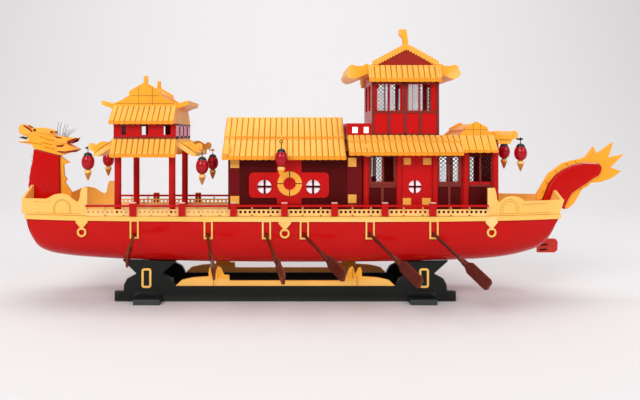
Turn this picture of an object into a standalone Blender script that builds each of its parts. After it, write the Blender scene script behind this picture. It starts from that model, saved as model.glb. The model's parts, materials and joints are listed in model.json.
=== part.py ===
"""A wooden display model of a dragon pleasure boat, with pavilions and a tower,
standing on its cradle.

Sizes below are in millimetres and become metres in mesh_object.
+X runs aft, +Y to starboard and +Z up. The origin is under the middle of the
whole model, on the shelf that the cradle stands on.
"""

import math

import bmesh
import bpy
from mathutils import Matrix, Vector
from mathutils.geometry import tessellate_polygon

MM = 0.001
GAP = 0.3            # between touching pieces
WALL = 3.0           # thickness of cabin walls and bulwark boards

# Hull. The sections are rounded boxes, whose corner power is HULL_POWER.
HULL_TOP = 105.0
HULL_POWER = 3.0
HULL_STEPS = 16
# x along the boat, half beam at the deck, height of the keel line
HULL_STATIONS = (
    (-375, 41.5, 100), (-374, 42, 88), (-372.5, 42.4, 80), (-369, 43.3, 71.5), (-363, 45.2, 63.5),
    (-350, 48, 58), (-330, 51.9, 54.8), (-300, 57, 52.4), (-240, 62, 49.5), (-150, 65.5, 47.6),
    (-40, 67, 46.8), (60, 67, 47.2), (150, 64.5, 48.8), (200, 59.9, 50.4), (235, 54.6, 53.7),
    (262, 49.2, 59.5), (278, 45.2, 65.5), (288, 42.5, 76.5), (293.5, 41, 91), (296, 40.3, 100),
)
# Plan of the deck's edge, which the bow's boards overhang: x, half beam
EDGE_STATIONS = (
    (-385, 35), (-382, 38), (-374, 42), (-360, 46), (-335, 51), (-300, 57), (-240, 62), (-150, 65.5),
    (-40, 67), (60, 67), (150, 64.5), (210, 59), (255, 51), (281, 44.5), (297, 40), (308, 37),
)

# Deck and gunwale
DECK_TOP = 111.0
DECK_X = (-377.0, 299.5)
FLOOR = DECK_TOP + GAP
BAND_IN = 2.9
BAND_OUT = 2.4
PORT_X = (-233, -142, -71, -25, 55, 133)
PORT_WIDTH, PORT_TOP, PORT_BOTTOM, PORT_BAR = 11.0, 106.0, 84.0, 1.9
PENDANT_X = (-299, -48.8, 205)
PENDANT_WIDTH, PENDANT_DROP = 15.0, 10.0
RING_Z, RING_OUTER, RING_INNER = 91.0, 6.0, 3.8

# Fence along each side
FENCE_Y = 62.0
FENCE_X = (-292.5, 200.5)
FENCE_POST_X = (-234.6, -174.6, -111.6, -49.3, 12.0, 73.6, 132.2)
FENCE_POST, FENCE_POST_WIDTH, FENCE_POST_TOP = 4.0, 8.0, 127.5
RAIL_BOTTOM, RAIL_TOP = 122.8, 125.2
FRET_TOP, FRET_THICK = 122.4, 1.6
FRET_HOLES, FRET_UPRIGHT = (114.0, 120.6), 2.6

# Pavilion columns: x, y
FRONT_COLUMNS = ((-258.4, -45), (-190.4, -45), (-258.4, 45), (-190.4, 45))
COLUMN_RADIUS = 4.25

# Lanterns hang by an eye from a thin pin
LANTERN_DROP = 18.0
PIN_RADIUS = 0.9
EYE_RADIUS, EYE_WIRE = 1.9, 0.5
PIN_HALF = 2.6
# Bends of the wires that carry the pins: step back from the pin, share of its distance from
# the boat's middle, rise over it
WAIST_WIRE = ((5.5, 0.86, 6), (5.2, 1.004, 2.4), (4, 1, 0), (-PIN_HALF, 1, 0))
REAR_WIRE = ((9.5, 1, 5.5), (4, 1.004, 0), (-PIN_HALF, 1, 0))
FRONT_WIRE = ((-3, 1, 0), (PIN_HALF, 1, 0))
CABIN_WIRE = ((0, 0.4, 4), (0, 0.54, 6.7), (0, 0.805, 6.9), (0, 0.94, 0), (0, 1.037, 0))
# name, x, y, z of the pin, and the pin's direction
LANTERNS = (
    ("lantern_front_port", -297, -42, 194.5, "X"),
    ("lantern_front_starboard", -297, 42, 194.5, "X"),
    ("lantern_waist_port", -152, -50, 189.5, "X"),
    ("lantern_waist_starboard", -152, 50, 189.5, "X"),
    ("lantern_cabin_port", -53, -70, 203, "Y"),
    ("lantern_cabin_starboard", -53, 70, 203, "Y"),
    ("lantern_rear_port", 252.5, -30, 205.5, "X"),
    ("lantern_rear_starboard", 252.5, 30, 205.5, "X"),
)

# Oars, one through each port frame: height at the hull, then the way aft, outwards and up
# from there to the blade's tip
OARS = (
    (89, 16, 88, -14), (89.5, 19, 85, -29), (90, 24, 85, -37),
    (90, 43, 75, -34), (91, 52, 70, -48), (91, 48, 65, -49),
)
OAR_LENGTH, OAR_RADIUS = 94.0, 2.0
COLLAR_LENGTH, COLLAR_RADIUS = 12.0, 3.0
BLADE_LENGTH, BLADE_WIDTH, BLADE_THICK = 36.0, 15.0, 2.6

# Cradle, the same on both sides of CRADLE_MIDDLE along X
CRADLE_MIDDLE = -48.5
CRADLE_OUTER, CRADLE_INNER = 40.0, 34.0
RAIL_FOOT, CRADLE_RAIL_TOP = 1.0, 19.5
BEAM_HALF, BEAM_CORE_TOP, BEAM_END_TOP, BEAM_REACH = 16.5, 13.0, 7.0, 56.0
# A bracket stands at each end of a side board, with its middle this far from CRADLE_MIDDLE
BRACKET_AT = 172.0
BRACKET_TOP_HALF = 34.0
# distance from the bracket's middle, height
BRACKET_FLANK = ((31.8, 22), (28.2, 29), (25.5, 30.5), (19.8, 33.5), (15.9, 35.5))
BLOCK_END, BLOCK_TOP = 43.7, 13.5
# Edge of the yellow fret on the side board: distance from CRADLE_MIDDLE, height
FRET_EDGE = (
    (138.5, 20), (131, 27), (116, 30.2), (97, 31.5), (97, 38), (95.5, 43.5), (92.5, 42), (88.5, 34),
    (87, 40), (85.5, 44.5), (81.5, 42.5), (77.5, 33.5), (71, 33.3), (70.5, 26.2),
)

# Rudder
STOCK_X = 289.5
STOCK_RADIUS, STOCK_HOLE = 2.2, 2.6
HOLE_TOP = 95.0

COLOURS = {
    # name: red, green, blue, roughness
    "hull_red": (0.60, 0.004, 0.003, 0.18),
    "trim_red": (0.50, 0.006, 0.004, 0.35),
    "panel_red": (0.58, 0.004, 0.004, 0.35),
    "cabin_maroon": (0.115, 0.003, 0.003, 0.4),
    "roof_yellow": (0.95, 0.42, 0.04, 0.5),
    "pale_yellow": (0.95, 0.58, 0.12, 0.5),
    "cradle_black": (0.015, 0.017, 0.015, 0.35),
    "oar_brown": (0.12, 0.010, 0.004, 0.25),
    "lantern_red": (0.50, 0.004, 0.012, 0.15),
    "rudder_red": (0.70, 0.03, 0.02, 0.4),
}


def clear_scene():
    for old in list(bpy.data.objects):
        bpy.data.objects.remove(old, do_unlink=True)


def material(name):
    """The Principled BSDF of one of the COLOURS."""
    found = bpy.data.materials.get(name)
    if found:
        return found
    red, green, blue, roughness = COLOURS[name]
    made = bpy.data.materials.new(name)
    made.use_nodes = True
    shader = made.node_tree.nodes["Principled BSDF"]
    shader.inputs["Base Color"].default_value = (red, green, blue, 1)
    shader.inputs["Roughness"].default_value = roughness
    shader.inputs["Metallic"].default_value = 0.0
    made.diffuse_color = (red, green, blue, 1)
    return made


def mesh_object(name, points, faces):
    """An object from points in millimetres, with its faces turned outwards."""
    mesh = bpy.data.meshes.new(name)
    mesh.from_pydata([Vector(p) * MM for p in points], [], faces)
    work = bmesh.new()
    work.from_mesh(mesh)
    bmesh.ops.recalc_face_normals(work, faces=work.faces)
    work.to_mesh(mesh)
    work.free()
    made = bpy.data.objects.new(name, mesh)
    bpy.context.scene.collection.objects.link(made)
    return made


def join_flat_faces(mesh):
    work = bmesh.new()
    work.from_mesh(mesh)
    bmesh.ops.dissolve_limit(work, angle_limit=math.radians(0.2), verts=work.verts, edges=work.edges)
    bmesh.ops.triangulate(work, faces=work.faces)
    bmesh.ops.recalc_face_normals(work, faces=work.faces)
    work.to_mesh(mesh)
    work.free()


def finish(made, name, finish_name, smooth=False, location=None):
    """Names a finished piece, gives it its material and moves it to its place."""
    join_flat_faces(made.data)
    made.name = name
    made.data.name = name
    made.data.materials.clear()
    made.data.materials.append(material(finish_name))
    if smooth:
        made.data.shade_smooth()
        made.data.set_sharp_from_angle(angle=math.radians(35))
    if location:
        made.location = Vector(location) * MM
    return made


def sheet(outline, holes, place):
    """A board: an outline with holes, carried to its two faces by place(a, b, face)."""
    loops = [list(outline)] + [list(hole) for hole in holes]
    flat = [Vector((a, b, 0)) for loop in loops for a, b in loop]
    triangles = tessellate_polygon([[Vector((a, b, 0)) for a, b in loop] for loop in loops])
    count = len(flat)
    points = [place(p.x, p.y, 0) for p in flat] + [place(p.x, p.y, 1) for p in flat]
    faces = []
    for one, two, three in triangles:
        area = (flat[two] - flat[one]).cross(flat[three] - flat[one]).z
        if area < 0:
            two, three = three, two
        faces.append((one, three, two))
        faces.append((one + count, two + count, three + count))
    start = 0
    for number, loop in enumerate(loops):
        turn = sum(loop[i - 1][0] * loop[i][1] - loop[i][0] * loop[i - 1][1] for i in range(len(loop)))
        forward = (turn > 0) == (number == 0)
        for i in range(len(loop)):
            here, after = start + i, start + (i + 1) % len(loop)
            if not forward:
                here, after = after, here
            faces.append((here, after, after + count, here + count))
        start += len(loop)
    return mesh_object("board", points, faces)


def board_xz(outline, low, high, holes=()):
    """An outline of (x, z) points, as thick as from y = low to y = high."""
    return sheet(outline, holes, lambda a, b, face: (a, high if face else low, b))


def board_yz(outline, low, high, holes=()):
    """An outline of (y, z) points, as thick as from x = low to x = high."""
    return sheet(outline, holes, lambda a, b, face: (high if face else low, a, b))


def board_xy(outline, low, high, holes=()):
    """An outline of (x, y) points, as thick as from z = low to z = high."""
    return sheet(outline, holes, lambda a, b, face: (a, b, high if face else low))


def rectangle(left, right, bottom, top):
    return [(left, bottom), (right, bottom), (right, top), (left, top)]


def panes(left, right, bottom, top, count, bar=2.0):
    """A row of window panes with bars between them."""
    width = (right - left - bar * (count - 1)) / count
    return [rectangle(left + i * (width + bar), left + i * (width + bar) + width, bottom, top)
            for i in range(count)]


def block(x_range, y_range, z_range):
    return board_xy(rectangle(*x_range, *y_range), *z_range)


def arc(centre_a, centre_b, radius, start, end, steps):
    """Points on an arc, from one angle in degrees to another."""
    angles = [math.radians(start + (end - start) * i / steps) for i in range(steps + 1)]
    return [(centre_a + radius * math.cos(t), centre_b + radius * math.sin(t)) for t in angles]


def circle(centre_a, centre_b, radius, steps=16):
    return arc(centre_a, centre_b, radius, 0, 360, steps)[:-1]


def loft(rings):
    """Closed rings of equal length, joined in order and capped."""
    size = len(rings[0])
    points = [p for ring in rings for p in ring]
    faces = [tuple(range(size)), tuple(range(len(points) - 1, len(points) - size - 1, -1))]
    for row in range(len(rings) - 1):
        for i in range(size):
            a, b = row * size + i, row * size + (i + 1) % size
            faces.append((b, a, a + size, b + size))
    return mesh_object("loft", points, faces)


def rod(start, end, radius, sides=12):
    """A round bar between two points."""
    start, end = Vector(start), Vector(end)
    turn = (end - start).to_track_quat("Z", "Y").to_matrix()
    rings = []
    for centre in (start, end):
        rings.append([centre + turn @ Vector((a, b, 0)) for a, b in circle(0, 0, radius, sides)])
    return loft(rings)


def lathe(profile, sides):
    """A shape turned about the Z axis; profile is (radius, z), with both ends on the axis."""
    points = [(0, 0, profile[0][1])]
    for radius, z in profile[1:-1]:
        points += [(a, b, z) for a, b in circle(0, 0, radius, sides)]
    points.append((0, 0, profile[-1][1]))
    last = len(points) - 1
    faces = []
    for i in range(sides):
        j = (i + 1) % sides
        faces.append((0, 1 + j, 1 + i))
        for row in range(len(profile) - 3):
            base = 1 + row * sides
            faces.append((base + i, base + j, base + sides + j, base + sides + i))
        base = last - sides
        faces.append((base + i, base + j, last))
    return mesh_object("turned", points, faces)


def ring(radius, wire, sides=10, wire_sides=4):
    """A ring of round wire about the X axis."""
    points, faces = [], []
    for i in range(sides):
        around = 2 * math.pi * i / sides
        for j in range(wire_sides):
            turn = 2 * math.pi * j / wire_sides
            reach = radius + wire * math.cos(turn)
            points.append((wire * math.sin(turn), reach * math.cos(around), reach * math.sin(around)))
            a, b = i * wire_sides, ((i + 1) % sides) * wire_sides
            after = (j + 1) % wire_sides
            faces.append((a + j, b + j, b + after, a + after))
    return mesh_object("ring", points, faces)


def is_closed(mesh):
    """True where every edge has two faces."""
    work = bmesh.new()
    work.from_mesh(mesh)
    closed = all(len(edge.link_faces) == 2 for edge in work.edges)
    work.free()
    return closed


def combine(base, others, operation):
    """Applies one Boolean after another to base and removes what it took."""
    for other in others:
        modifier = base.modifiers.new("combine", "BOOLEAN")
        modifier.operation = operation
        modifier.object = other
        for solver in ("EXACT", "MANIFOLD"):
            modifier.solver = solver
            graph = bpy.context.evaluated_depsgraph_get()
            result = bpy.data.meshes.new_from_object(base.evaluated_get(graph))
            if is_closed(result):
                break
        base.modifiers.remove(modifier)
        base.data = result
        bpy.data.objects.remove(other, do_unlink=True)
    return base


def fuse(base, *others):
    return combine(base, others, "UNION")


def carve(base, *others):
    return combine(base, others, "DIFFERENCE")


def place(made, matrix):
    """Moves a mesh's points; matrix works in millimetres."""
    scale = Matrix.Scale(1 / MM, 4)
    made.data.transform(scale.inverted() @ matrix @ scale)
    return made


def mirrored(x_points, middle):
    """The right half of an outline that is the same on both sides of middle."""
    return [(2 * middle - x, z) for x, z in reversed(x_points)]


def station(rows, x, column):
    """A value between two rows of a table of stations."""
    for before, after in zip(rows, rows[1:]):
        if before[0] <= x <= after[0]:
            share = (x - before[0]) / (after[0] - before[0])
            return before[column] + share * (after[column] - before[column])
    return rows[0 if x < rows[0][0] else -1][column]


def half_beam(x):
    return station(EDGE_STATIONS, x, 1)


def keel(x):
    return station(HULL_STATIONS, x, 2)


def hull_z(x, y):
    """Height of the hull's underside at a place."""
    share = min(1.0, abs(y) / half_beam(x)) ** HULL_POWER
    return HULL_TOP - (HULL_TOP - keel(x)) * (1 - share) ** (1 / HULL_POWER)


def side_slope(x):
    return (half_beam(x + 8) - half_beam(x - 8)) / 16


def make_hull():
    rings = []
    for x, beam, bottom in HULL_STATIONS:
        ring_points = []
        for i in range(HULL_STEPS + 1):
            turn = math.pi * i / HULL_STEPS
            across, down = math.cos(turn), math.sin(turn)
            y = math.copysign(abs(across) ** (2 / HULL_POWER), across) * beam
            z = HULL_TOP - (HULL_TOP - bottom) * max(0.0, down) ** (2 / HULL_POWER)
            ring_points.append((x, y, z))
        rings.append(ring_points)
    hull = loft(rings)
    carve(hull, rod((STOCK_X, 0, 60), (STOCK_X, 0, HOLE_TOP), STOCK_HOLE, 16))
    finish(hull, "hull", "hull_red", smooth=True)


def edge_x():
    """Where the deck's edge bends, between its two ends."""
    inside = [x for x, beam in EDGE_STATIONS if DECK_X[0] < x < DECK_X[1]]
    return [DECK_X[0]] + inside + [DECK_X[1]]


def make_deck():
    edge = BAND_IN + GAP
    stations = edge_x()
    starboard = [(x, half_beam(x) - edge) for x in stations]
    outline = starboard + [(x, -y) for x, y in reversed(starboard)]
    finish(board_xy(outline, HULL_TOP + GAP, DECK_TOP), "deck", "pale_yellow")


def on_side(outline, holes, x, side, gap, thick):
    """A flat plate against the hull's side at x; outline is (along, z) from x."""
    slope = side_slope(x)
    length = math.hypot(1, slope)

    def carry(a, b, face):
        out = half_beam(x) + gap + (thick if face else 0)
        return (x + a / length - slope * (gap + thick * face) / length,
                side * (out + a * slope / length), b)

    return sheet(outline, holes, carry)


def make_gunwale(name, side):
    """The yellow band with its port frames and ring pendants."""
    stations = edge_x()
    outer = [(x, side * (half_beam(x) + BAND_OUT)) for x in stations]
    inner = [(x, side * (half_beam(x) - BAND_IN)) for x in reversed(stations)]
    band = board_xy(outer + inner, HULL_TOP + GAP, DECK_TOP)
    half = PORT_WIDTH / 2
    for x in PORT_X:
        frame = rectangle(-half, half, PORT_BOTTOM, PORT_TOP + 2)
        opening = rectangle(-half + PORT_BAR, half - PORT_BAR, PORT_BOTTOM + PORT_BAR, PORT_TOP - 1.2)
        fuse(band, on_side(frame, [opening], x, side, 0.5, 1.7))
    for x in PENDANT_X:
        half = PENDANT_WIDTH / 2
        tip = HULL_TOP - PENDANT_DROP
        triangle = [(-half, HULL_TOP + 2), (-half, HULL_TOP - 2), (-1.2, tip + 1), (-1.2, tip - 1),
                    (1.2, tip - 1), (1.2, tip + 1), (half, HULL_TOP - 2), (half, HULL_TOP + 2)]
        loop = on_side(circle(0, RING_Z, RING_OUTER), [circle(0, RING_Z, RING_INNER)], x, side, 0.5, 1.7)
        fuse(band, on_side(triangle, [], x, side, 0.4, 1.9), loop)
    finish(band, name, "pale_yellow")


def make_fence(side, word):
    """Red posts and rail, with the yellow fretted board behind them."""
    outer, inner = FENCE_Y + FENCE_POST, FENCE_Y
    rail = block(FENCE_X, sorted((side * (inner - 2), side * outer)), (RAIL_BOTTOM, RAIL_TOP))
    half = FENCE_POST_WIDTH / 2
    for x in FENCE_POST_X:
        fuse(rail, block((x - half, x + half), sorted((side * (inner + 0.2), side * (outer + 0.4))),
                         (FLOOR, FENCE_POST_TOP)))
    finish(rail, "fence_rail_" + word, "trim_red")
    holes = []
    edges = [FENCE_X[0]] + list(FENCE_POST_X) + [FENCE_X[1]]
    for left, right in zip(edges, edges[1:]):
        holes += panes(left + half, right - half, FRET_HOLES[0], FRET_HOLES[1], 3, FRET_UPRIGHT)
    inner_face = FENCE_Y - GAP
    fret = board_xz(rectangle(*FENCE_X, FLOOR, FRET_TOP),
                    *sorted((side * (inner_face - FRET_THICK), side * inner_face)), holes)
    finish(fret, "fence_fret_" + word, "pale_yellow")


# Tops of the bulwark boards: x, height
BOW_BOARD = (
    (-383, 131), (-374, 131), (-360, 131), (-348, 131), (-343, 133), (-337, 136.4), (-328, 138),
    (-319, 136), (-312, 131), (-306, 127.5), (-303, 131), (-301.5, 140), (-300, 145.5), (-292.8, 145.5),
)
STERN_BOARD = (
    (201, 145.5), (210, 145.5), (212, 138), (213, 131), (216, 127.5), (219, 130), (225, 133.7),
    (234, 135), (243, 133.3), (250, 128.5), (268, 128.5), (281, 128.5), (290, 128.7), (298.6, 129),
)


def side_board(tops, side, rake=0.0):
    """A bulwark board that follows the hull's edge; its last section leans aft by rake."""
    rings = []
    for x, top in tops:
        lean = rake * (top - FLOOR) if x == tops[-1][0] else 0
        outer, inner = side * half_beam(x), side * (half_beam(x) - WALL)
        rings.append([(x, outer, FLOOR), (x + lean, outer, top), (x + lean, inner, top), (x, inner, FLOOR)])
    return loft(rings)


def end_board(corner, corner_top, peak_top):
    """The outline across an end: it rises to the middle and is slotted for the neck or tail."""
    slot, slot_bottom = 7.4, FLOOR + 3
    half = [(-slot, slot_bottom), (-slot, peak_top), (-9.4, peak_top), (-corner, corner_top),
            (-corner, FLOOR)]
    return half + mirrored(half, 0)


def make_bow_bulwark():
    bulwark = side_board(BOW_BOARD, -1)
    sill = block((-382.7, -376.7), (-36.4, 36.4), (FLOOR, FLOOR + 2.8))
    fuse(bulwark, board_yz(end_board(36.5, 130.7, 145), -382.8, -380), sill, side_board(BOW_BOARD, 1))
    finish(bulwark, "bow_bulwark", "pale_yellow")


def make_stern_bulwark():
    rake = 0.33

    def raked(a, b, face):
        return (295.6 + WALL * face + rake * (b - FLOOR), a, b)

    bulwark = side_board(STERN_BOARD, -1, rake)
    fuse(bulwark, sheet(end_board(37.5, 128.7, 138), (), raked), side_board(STERN_BOARD, 1, rake))
    finish(bulwark, "stern_bulwark", "pale_yellow")


def make_dragon():
    """Neck, head, crest, tail and fins, sawn from board and set on the centre line."""
    neck = [(-376.2, FLOOR), (-346.5, FLOOR), (-347.2, 135), (-348.2, 183.7), (-380.7, 192.2),
            (-382.6, 175.3), (-385, 166), (-385.2, 163), (-387, 154.5), (-386.6, 152), (-387.8, 144),
            (-384.5, 120), (-383, FLOOR + 3.3), (-376.2, FLOOR + 3.3)]
    finish(board_xz(neck, -7, 7), "dragon_neck", "hull_red")
    head = [(-380.6, 193.1), (-379.8, 192.8), (-348.2, 184.6), (-344.5, 184.2), (-323.8, 191.9),
            (-337, 199.5), (-326, 206.6), (-335.3, 206.9), (-353.9, 208.8), (-358.4, 215.3),
            (-363.2, 219), (-377, 220.6), (-382.6, 220.2), (-385.4, 216.3), (-395.6, 225.2),
            (-400, 222.5), (-400.4, 220), (-399.5, 213.5), (-387.3, 207), (-387.3, 203.8),
            (-400.4, 202.2), (-400.2, 200.8), (-387.3, 199.5), (-382, 197)]
    finish(board_xz(head, -8, 8), "dragon_head", "roof_yellow")
    crest = [(-347.8, 183.2), (-334.9, 174.4), (-343.4, 171.6), (-342.5, 157.6), (-338.2, 151.9),
             (-341.8, 148.3), (-333, 136), (-333, FLOOR), (-346, FLOOR), (-346.8, 135)]
    finish(board_xz(crest, -2.5, 2.5), "neck_crest", "roof_yellow")
    tail = [(288, FLOOR), (295.2, FLOOR), (295.2, FLOOR + 3.3), (316, FLOOR + 3.3), (320.4, 112.5),
            (321, 118), (325, 126.4), (329.6, 133.6), (338.3, 140.3), (347, 145.6), (357.1, 153),
            (364.8, 157.3), (367, 160.5), (368.5, 165), (368.3, 169), (366.3, 172), (362.5, 172.6),
            (346, 173.3), (331.6, 170), (318.4, 163.5), (309.5, 156.8), (300.7, 145.8), (292.5, 124.7)]
    finish(board_xz(tail, -7, 7), "tail_body", "hull_red")
    fin = [(292, 125.2), (300.1, 146.2), (309, 157.3), (318, 164.1), (331.4, 170.7), (346, 174),
           (362.7, 173.3), (366.8, 172.6), (369, 169.3), (369.2, 164.8), (367.6, 160.2), (365.2, 156.8),
           (357.4, 152.4), (347.4, 145), (338.7, 139.7), (330.1, 133.1), (325.6, 126),
           (321.7, 117.8), (321.6, 112.7), (325.6, 112.6), (334, 119.3), (341.8, 132.6), (345, 139.5),
           (351.4, 141.4), (356.5, 147.4), (369.1, 148.1), (384.5, 153.7), (396.7, 162.9),
           (382.4, 167.8), (400.4, 185.5), (379.6, 180.5), (386.3, 201.5), (364.2, 185.6), (360.3, 195.9),
           (350.4, 182.2), (342.6, 178.9), (331.6, 177.2), (318.4, 173.3), (307.4, 164.6), (299.7, 159),
           (292, 145.6), (285.3, 133.7), (285.3, FLOOR), (287.4, FLOOR), (287.4, 125.2)]
    finish(board_xz(fin, -2.2, 2.2), "tail_fin", "roof_yellow")


def tiled(axis, start, end, tile, relief, section):
    """A roof slab with rows of tiles. Section rows are (across, z, tiled),
    and the tiled ones dip by relief between two tiles."""
    count = round(abs(end - start) / tile)
    width = (end - start) / count
    rings = []

    def section_at(place_along, dip):
        row = [(across, z - dip * flag) for across, z, flag in section]
        if axis == "X":
            return [(place_along, across, z) for across, z in row]
        return [(across, place_along, z) for across, z in row]

    for number in range(count):
        left = start + number * width
        rings.append(section_at(left, relief))
        rings.append(section_at(left + 0.15 * width, 0))
    rings.append(section_at(end, relief))
    return loft(rings)


def both_sides(half_section):
    """A roof section from its starboard half, listed from the centre outwards and back."""
    return half_section + [(-across, z, flag) for across, z, flag in reversed(half_section)]


def lantern_place(name):
    return next(row[1:] for row in LANTERNS if row[0] == name)


def hang(base, names, bends):
    """Fuses the bent wires with the named lanterns' pins into base."""
    for name in names:
        x, y, z, direction = lantern_place(name)
        wire(base, [(x - back, y * share, z + rise) for back, share, rise in bends])


def wire(base, route):
    """Fuses a bent wire, as thick as a lantern's pin, into base."""
    for start, end in zip(route, route[1:]):
        way = (Vector(end) - Vector(start)).normalized() * 0.4
        fuse(base, rod(Vector(start) - way, Vector(end) + way, PIN_RADIUS, 8))


def scroll(points, x_wall, outward, y_centre, thick=5):
    """An upturned corner board; points are (distance out from the wall, z)."""
    outline = [(x_wall + outward * a, z) for a, z in points]
    return board_xz(outline, y_centre - thick / 2, y_centre + thick / 2)


def gable_block(roof, outline, outer, plate=6.0, sunk=2.5):
    """A board at each side and, between the two, a core whose top lies lower."""
    base = min(z for x, z in outline)
    core = [(x, z if z == base else z - sunk) for x, z in outline]
    fuse(roof, board_xz(core, 1 + plate - outer, outer - plate - 1))
    for side in (-1, 1):
        fuse(roof, board_xz(outline, *sorted((side * (outer - plate - 2), side * outer))))


def make_front_pavilion():
    for number, (x, y) in enumerate(FRONT_COLUMNS):
        column = rod((0, 0, FLOOR), (0, 0, 189.6), COLUMN_RADIUS, 16)
        finish(column, "front_column_%d" % (number + 1), "trim_red", True, (x, y, 0))

    # lower roof: slopes to both sides, end slopes, and corner scrolls with the lantern pins
    sides = both_sides([(20, 190, 0), (49, 190, 0), (55.5, 184, 0), (60, 184, 0), (60, 187.5, 1),
                        (50, 206, 1), (20, 206, 0)])
    roof = tiled("X", -265, -184, 6.75, 0.9, sides)
    reach = 34
    slope = [(-8, 198), (0, 198), (22, 184), (27, 184), (27, 187.5), (2, 205), (-8, 205)]
    curl = [(13, 191.5), (21, 186), (26.4, 184.9), (27, 190), (reach - 2, 192.2), (reach, 193.3),
            (reach, 198), (reach - 2, 200.5), (reach - 5, 200.7), (reach - 8, 198.5), (24, 198.5),
            (20, 201.5), (16, 202.8), (8, 201.5)]
    for wall, outward in ((-262, -1), (-187, 1)):
        section = [(wall + outward * a, z, 1 if z > 184.5 and a > 0 else 0) for a, z in slope]
        fuse(roof, tiled("Y", -45, 45, 7.5, 0.9, section))
        for side in (-1, 1):
            fuse(roof, scroll(curl, wall, outward, side * 42))
    hang(roof, ("lantern_front_port", "lantern_front_starboard"), FRONT_WIRE)
    hang(roof, ("lantern_waist_port", "lantern_waist_starboard"), WAIST_WIRE)
    finish(roof, "front_lower_roof", "roof_yellow")

    # upper storey: a low room with small windows
    bottom, top = 206 + GAP, 224.7
    windows = [rectangle(*ends, 211, 223) for ends in ((-252.5, -246.5), (-228, -219), (-200, -191))]
    slots = [rectangle(y - 4.5, y + 4.5, 209.5, 222.5) for y in (-28, 0, 28)]
    side_outline = rectangle(-262, -184.5, bottom, top)
    end_outline = rectangle(-49, 49, bottom, top)
    walls = board_xz(side_outline, -52, -52 + WALL, windows)
    fuse(walls, board_yz(end_outline, -262.0, -262 + WALL, slots),
         board_yz(end_outline, -184.5 - WALL, -184.5, slots),
         board_xz(side_outline, 52 - WALL, 52, windows))
    finish(walls, "front_upper_walls", "trim_red")

    # upper roof: side slopes, a stepped gable facing each side, upturned ends and finials
    sides = both_sides([(20, 225, 0), (60, 225, 0), (60, 228, 1), (41, 247.5, 1), (20, 247.5, 0)])
    roof = tiled("X", -266, -185.5, 6.7, 0.9, sides)
    half = [(-266, 246), (-266, 250), (-255, 255), (-245.5, 260.7), (-245.5, 266), (-228.5, 276)]
    gable = half + mirrored(half, -225.5)
    gable_block(roof, gable, 42)
    curl = [(-4, 239), (2, 243.5), (8, 246), (16.5, 249), (17, 254.2), (12, 253.4), (3, 249.8), (-4, 249)]
    for wall, outward in ((-263.5, -1), (-187.5, 1)):
        outline = [(wall + outward * a, z) for a, z in curl]
        fuse(roof, board_xz(outline, -41, 41))
    for side in (-1, 1):
        finial = [(-228.5, 273), (-222, 273), (-222.8, 279), (-222.8, 285.5), (-227, 285.5), (-227, 279)]
        fuse(roof, board_xz(finial, *sorted((side * 35, side * 41))))
    finish(roof, "front_upper_roof", "roof_yellow")


def window_quarters(x, z, radius, bar=1.2):
    """The four openings of a round window with a cross."""
    quarters = []
    for turn in (0, 90, 180, 270):
        corner_x = x + bar * (1 if turn in (0, 270) else -1)
        corner_z = z + bar * (1 if turn in (0, 90) else -1)
        quarters.append([(corner_x, corner_z)] + arc(x, z, radius, turn + 9, turn + 81, 4))
    return quarters


def make_cabin():
    wall_top, outer = 188.4, 46.5
    round_windows = (-74.4, -13.6)
    holes = [quarter for x in round_windows for quarter in window_quarters(x, 146, 8.9)]
    side_outline = rectangle(-120, 48, FLOOR, wall_top)
    gable = [(outer - 1, wall_top), (4, 225), (-4, 225), (1 - outer, wall_top)]
    bulkhead = [(1 - outer, 170), (outer - 1, 170)] + gable
    end_outline = rectangle(1 - outer, outer - 1, FLOOR, wall_top)
    doorway = [(1 - outer, FLOOR), (-14, FLOOR), (-14, 166), (14, 166), (14, FLOOR), (outer - 1, FLOOR)]
    walls = board_xz(side_outline, -outer, -outer + WALL, holes)
    fuse(walls, board_yz(doorway + gable, -120, -120 + WALL), board_yz(end_outline, 48 - WALL, 48),
         board_yz(bulkhead, 21 - WALL, 21), board_xz(side_outline, outer - WALL, outer, holes))
    finish(walls, "cabin_walls", "cabin_maroon")

    # the bright panel on each side, with the two round windows
    left = arc(-88, 138, 6, 270, 180, 3) + arc(-88, 158, 6, 180, 90, 3)
    right = arc(0.4, 158, 6, 90, 0, 3) + arc(0.4, 138, 6, 0, -90, 3)
    outline = [(-59, 132), (-59, 124.5), (-28, 124.5), (-28, 132)][::-1]
    outline = left + [(-59, 164), (-59, 180), (-28, 180), (-28, 164)] + right + outline
    discs = [circle(x, 146, 8.9, 20) for x in round_windows]
    for side, word in ((-1, "port"), (1, "starboard")):
        faces = sorted((side * (outer + GAP), side * (outer + GAP + 1.6)))
        finish(board_xz(outline, *faces, discs), "cabin_panel_" + word, "panel_red")

    section = both_sides([(3, 233.8, 1), (33.5, 208.5, 1), (32, 205.6, 1), (60.5, 184.5, 1),
                          (60.5, 181, 0), (56, 181, 0), (4, 225.6, 0)])
    roof = tiled("X", -126.5, 27, 7.3, 1.0, section)
    hang(roof, ("lantern_cabin_port", "lantern_cabin_starboard"), CABIN_WIRE)
    finish(roof, "cabin_roof", "roof_yellow")


def storey(x_range, outer, bottom, top, side_holes, columns, column_top, end_holes=((), ())):
    """Four walls, fused with round columns along both sides."""
    left, right = x_range
    side_outline = rectangle(left, right, bottom, top)
    end_outline = rectangle(-outer + 1, outer - 1, bottom, top)
    walls = board_xz(side_outline, -outer, -outer + WALL, side_holes)
    fuse(walls, board_yz(end_outline, left, left + WALL, end_holes[0]),
         board_yz(end_outline, right - WALL, right, end_holes[1]),
         board_xz(side_outline, outer - WALL, outer, side_holes))
    for x in columns:
        for side in (-1, 1):
            y = side * (outer + 0.6)
            fuse(walls, rod((x, y, bottom + 0.01), (x, y, column_top), 4, 10))
    return walls


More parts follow.
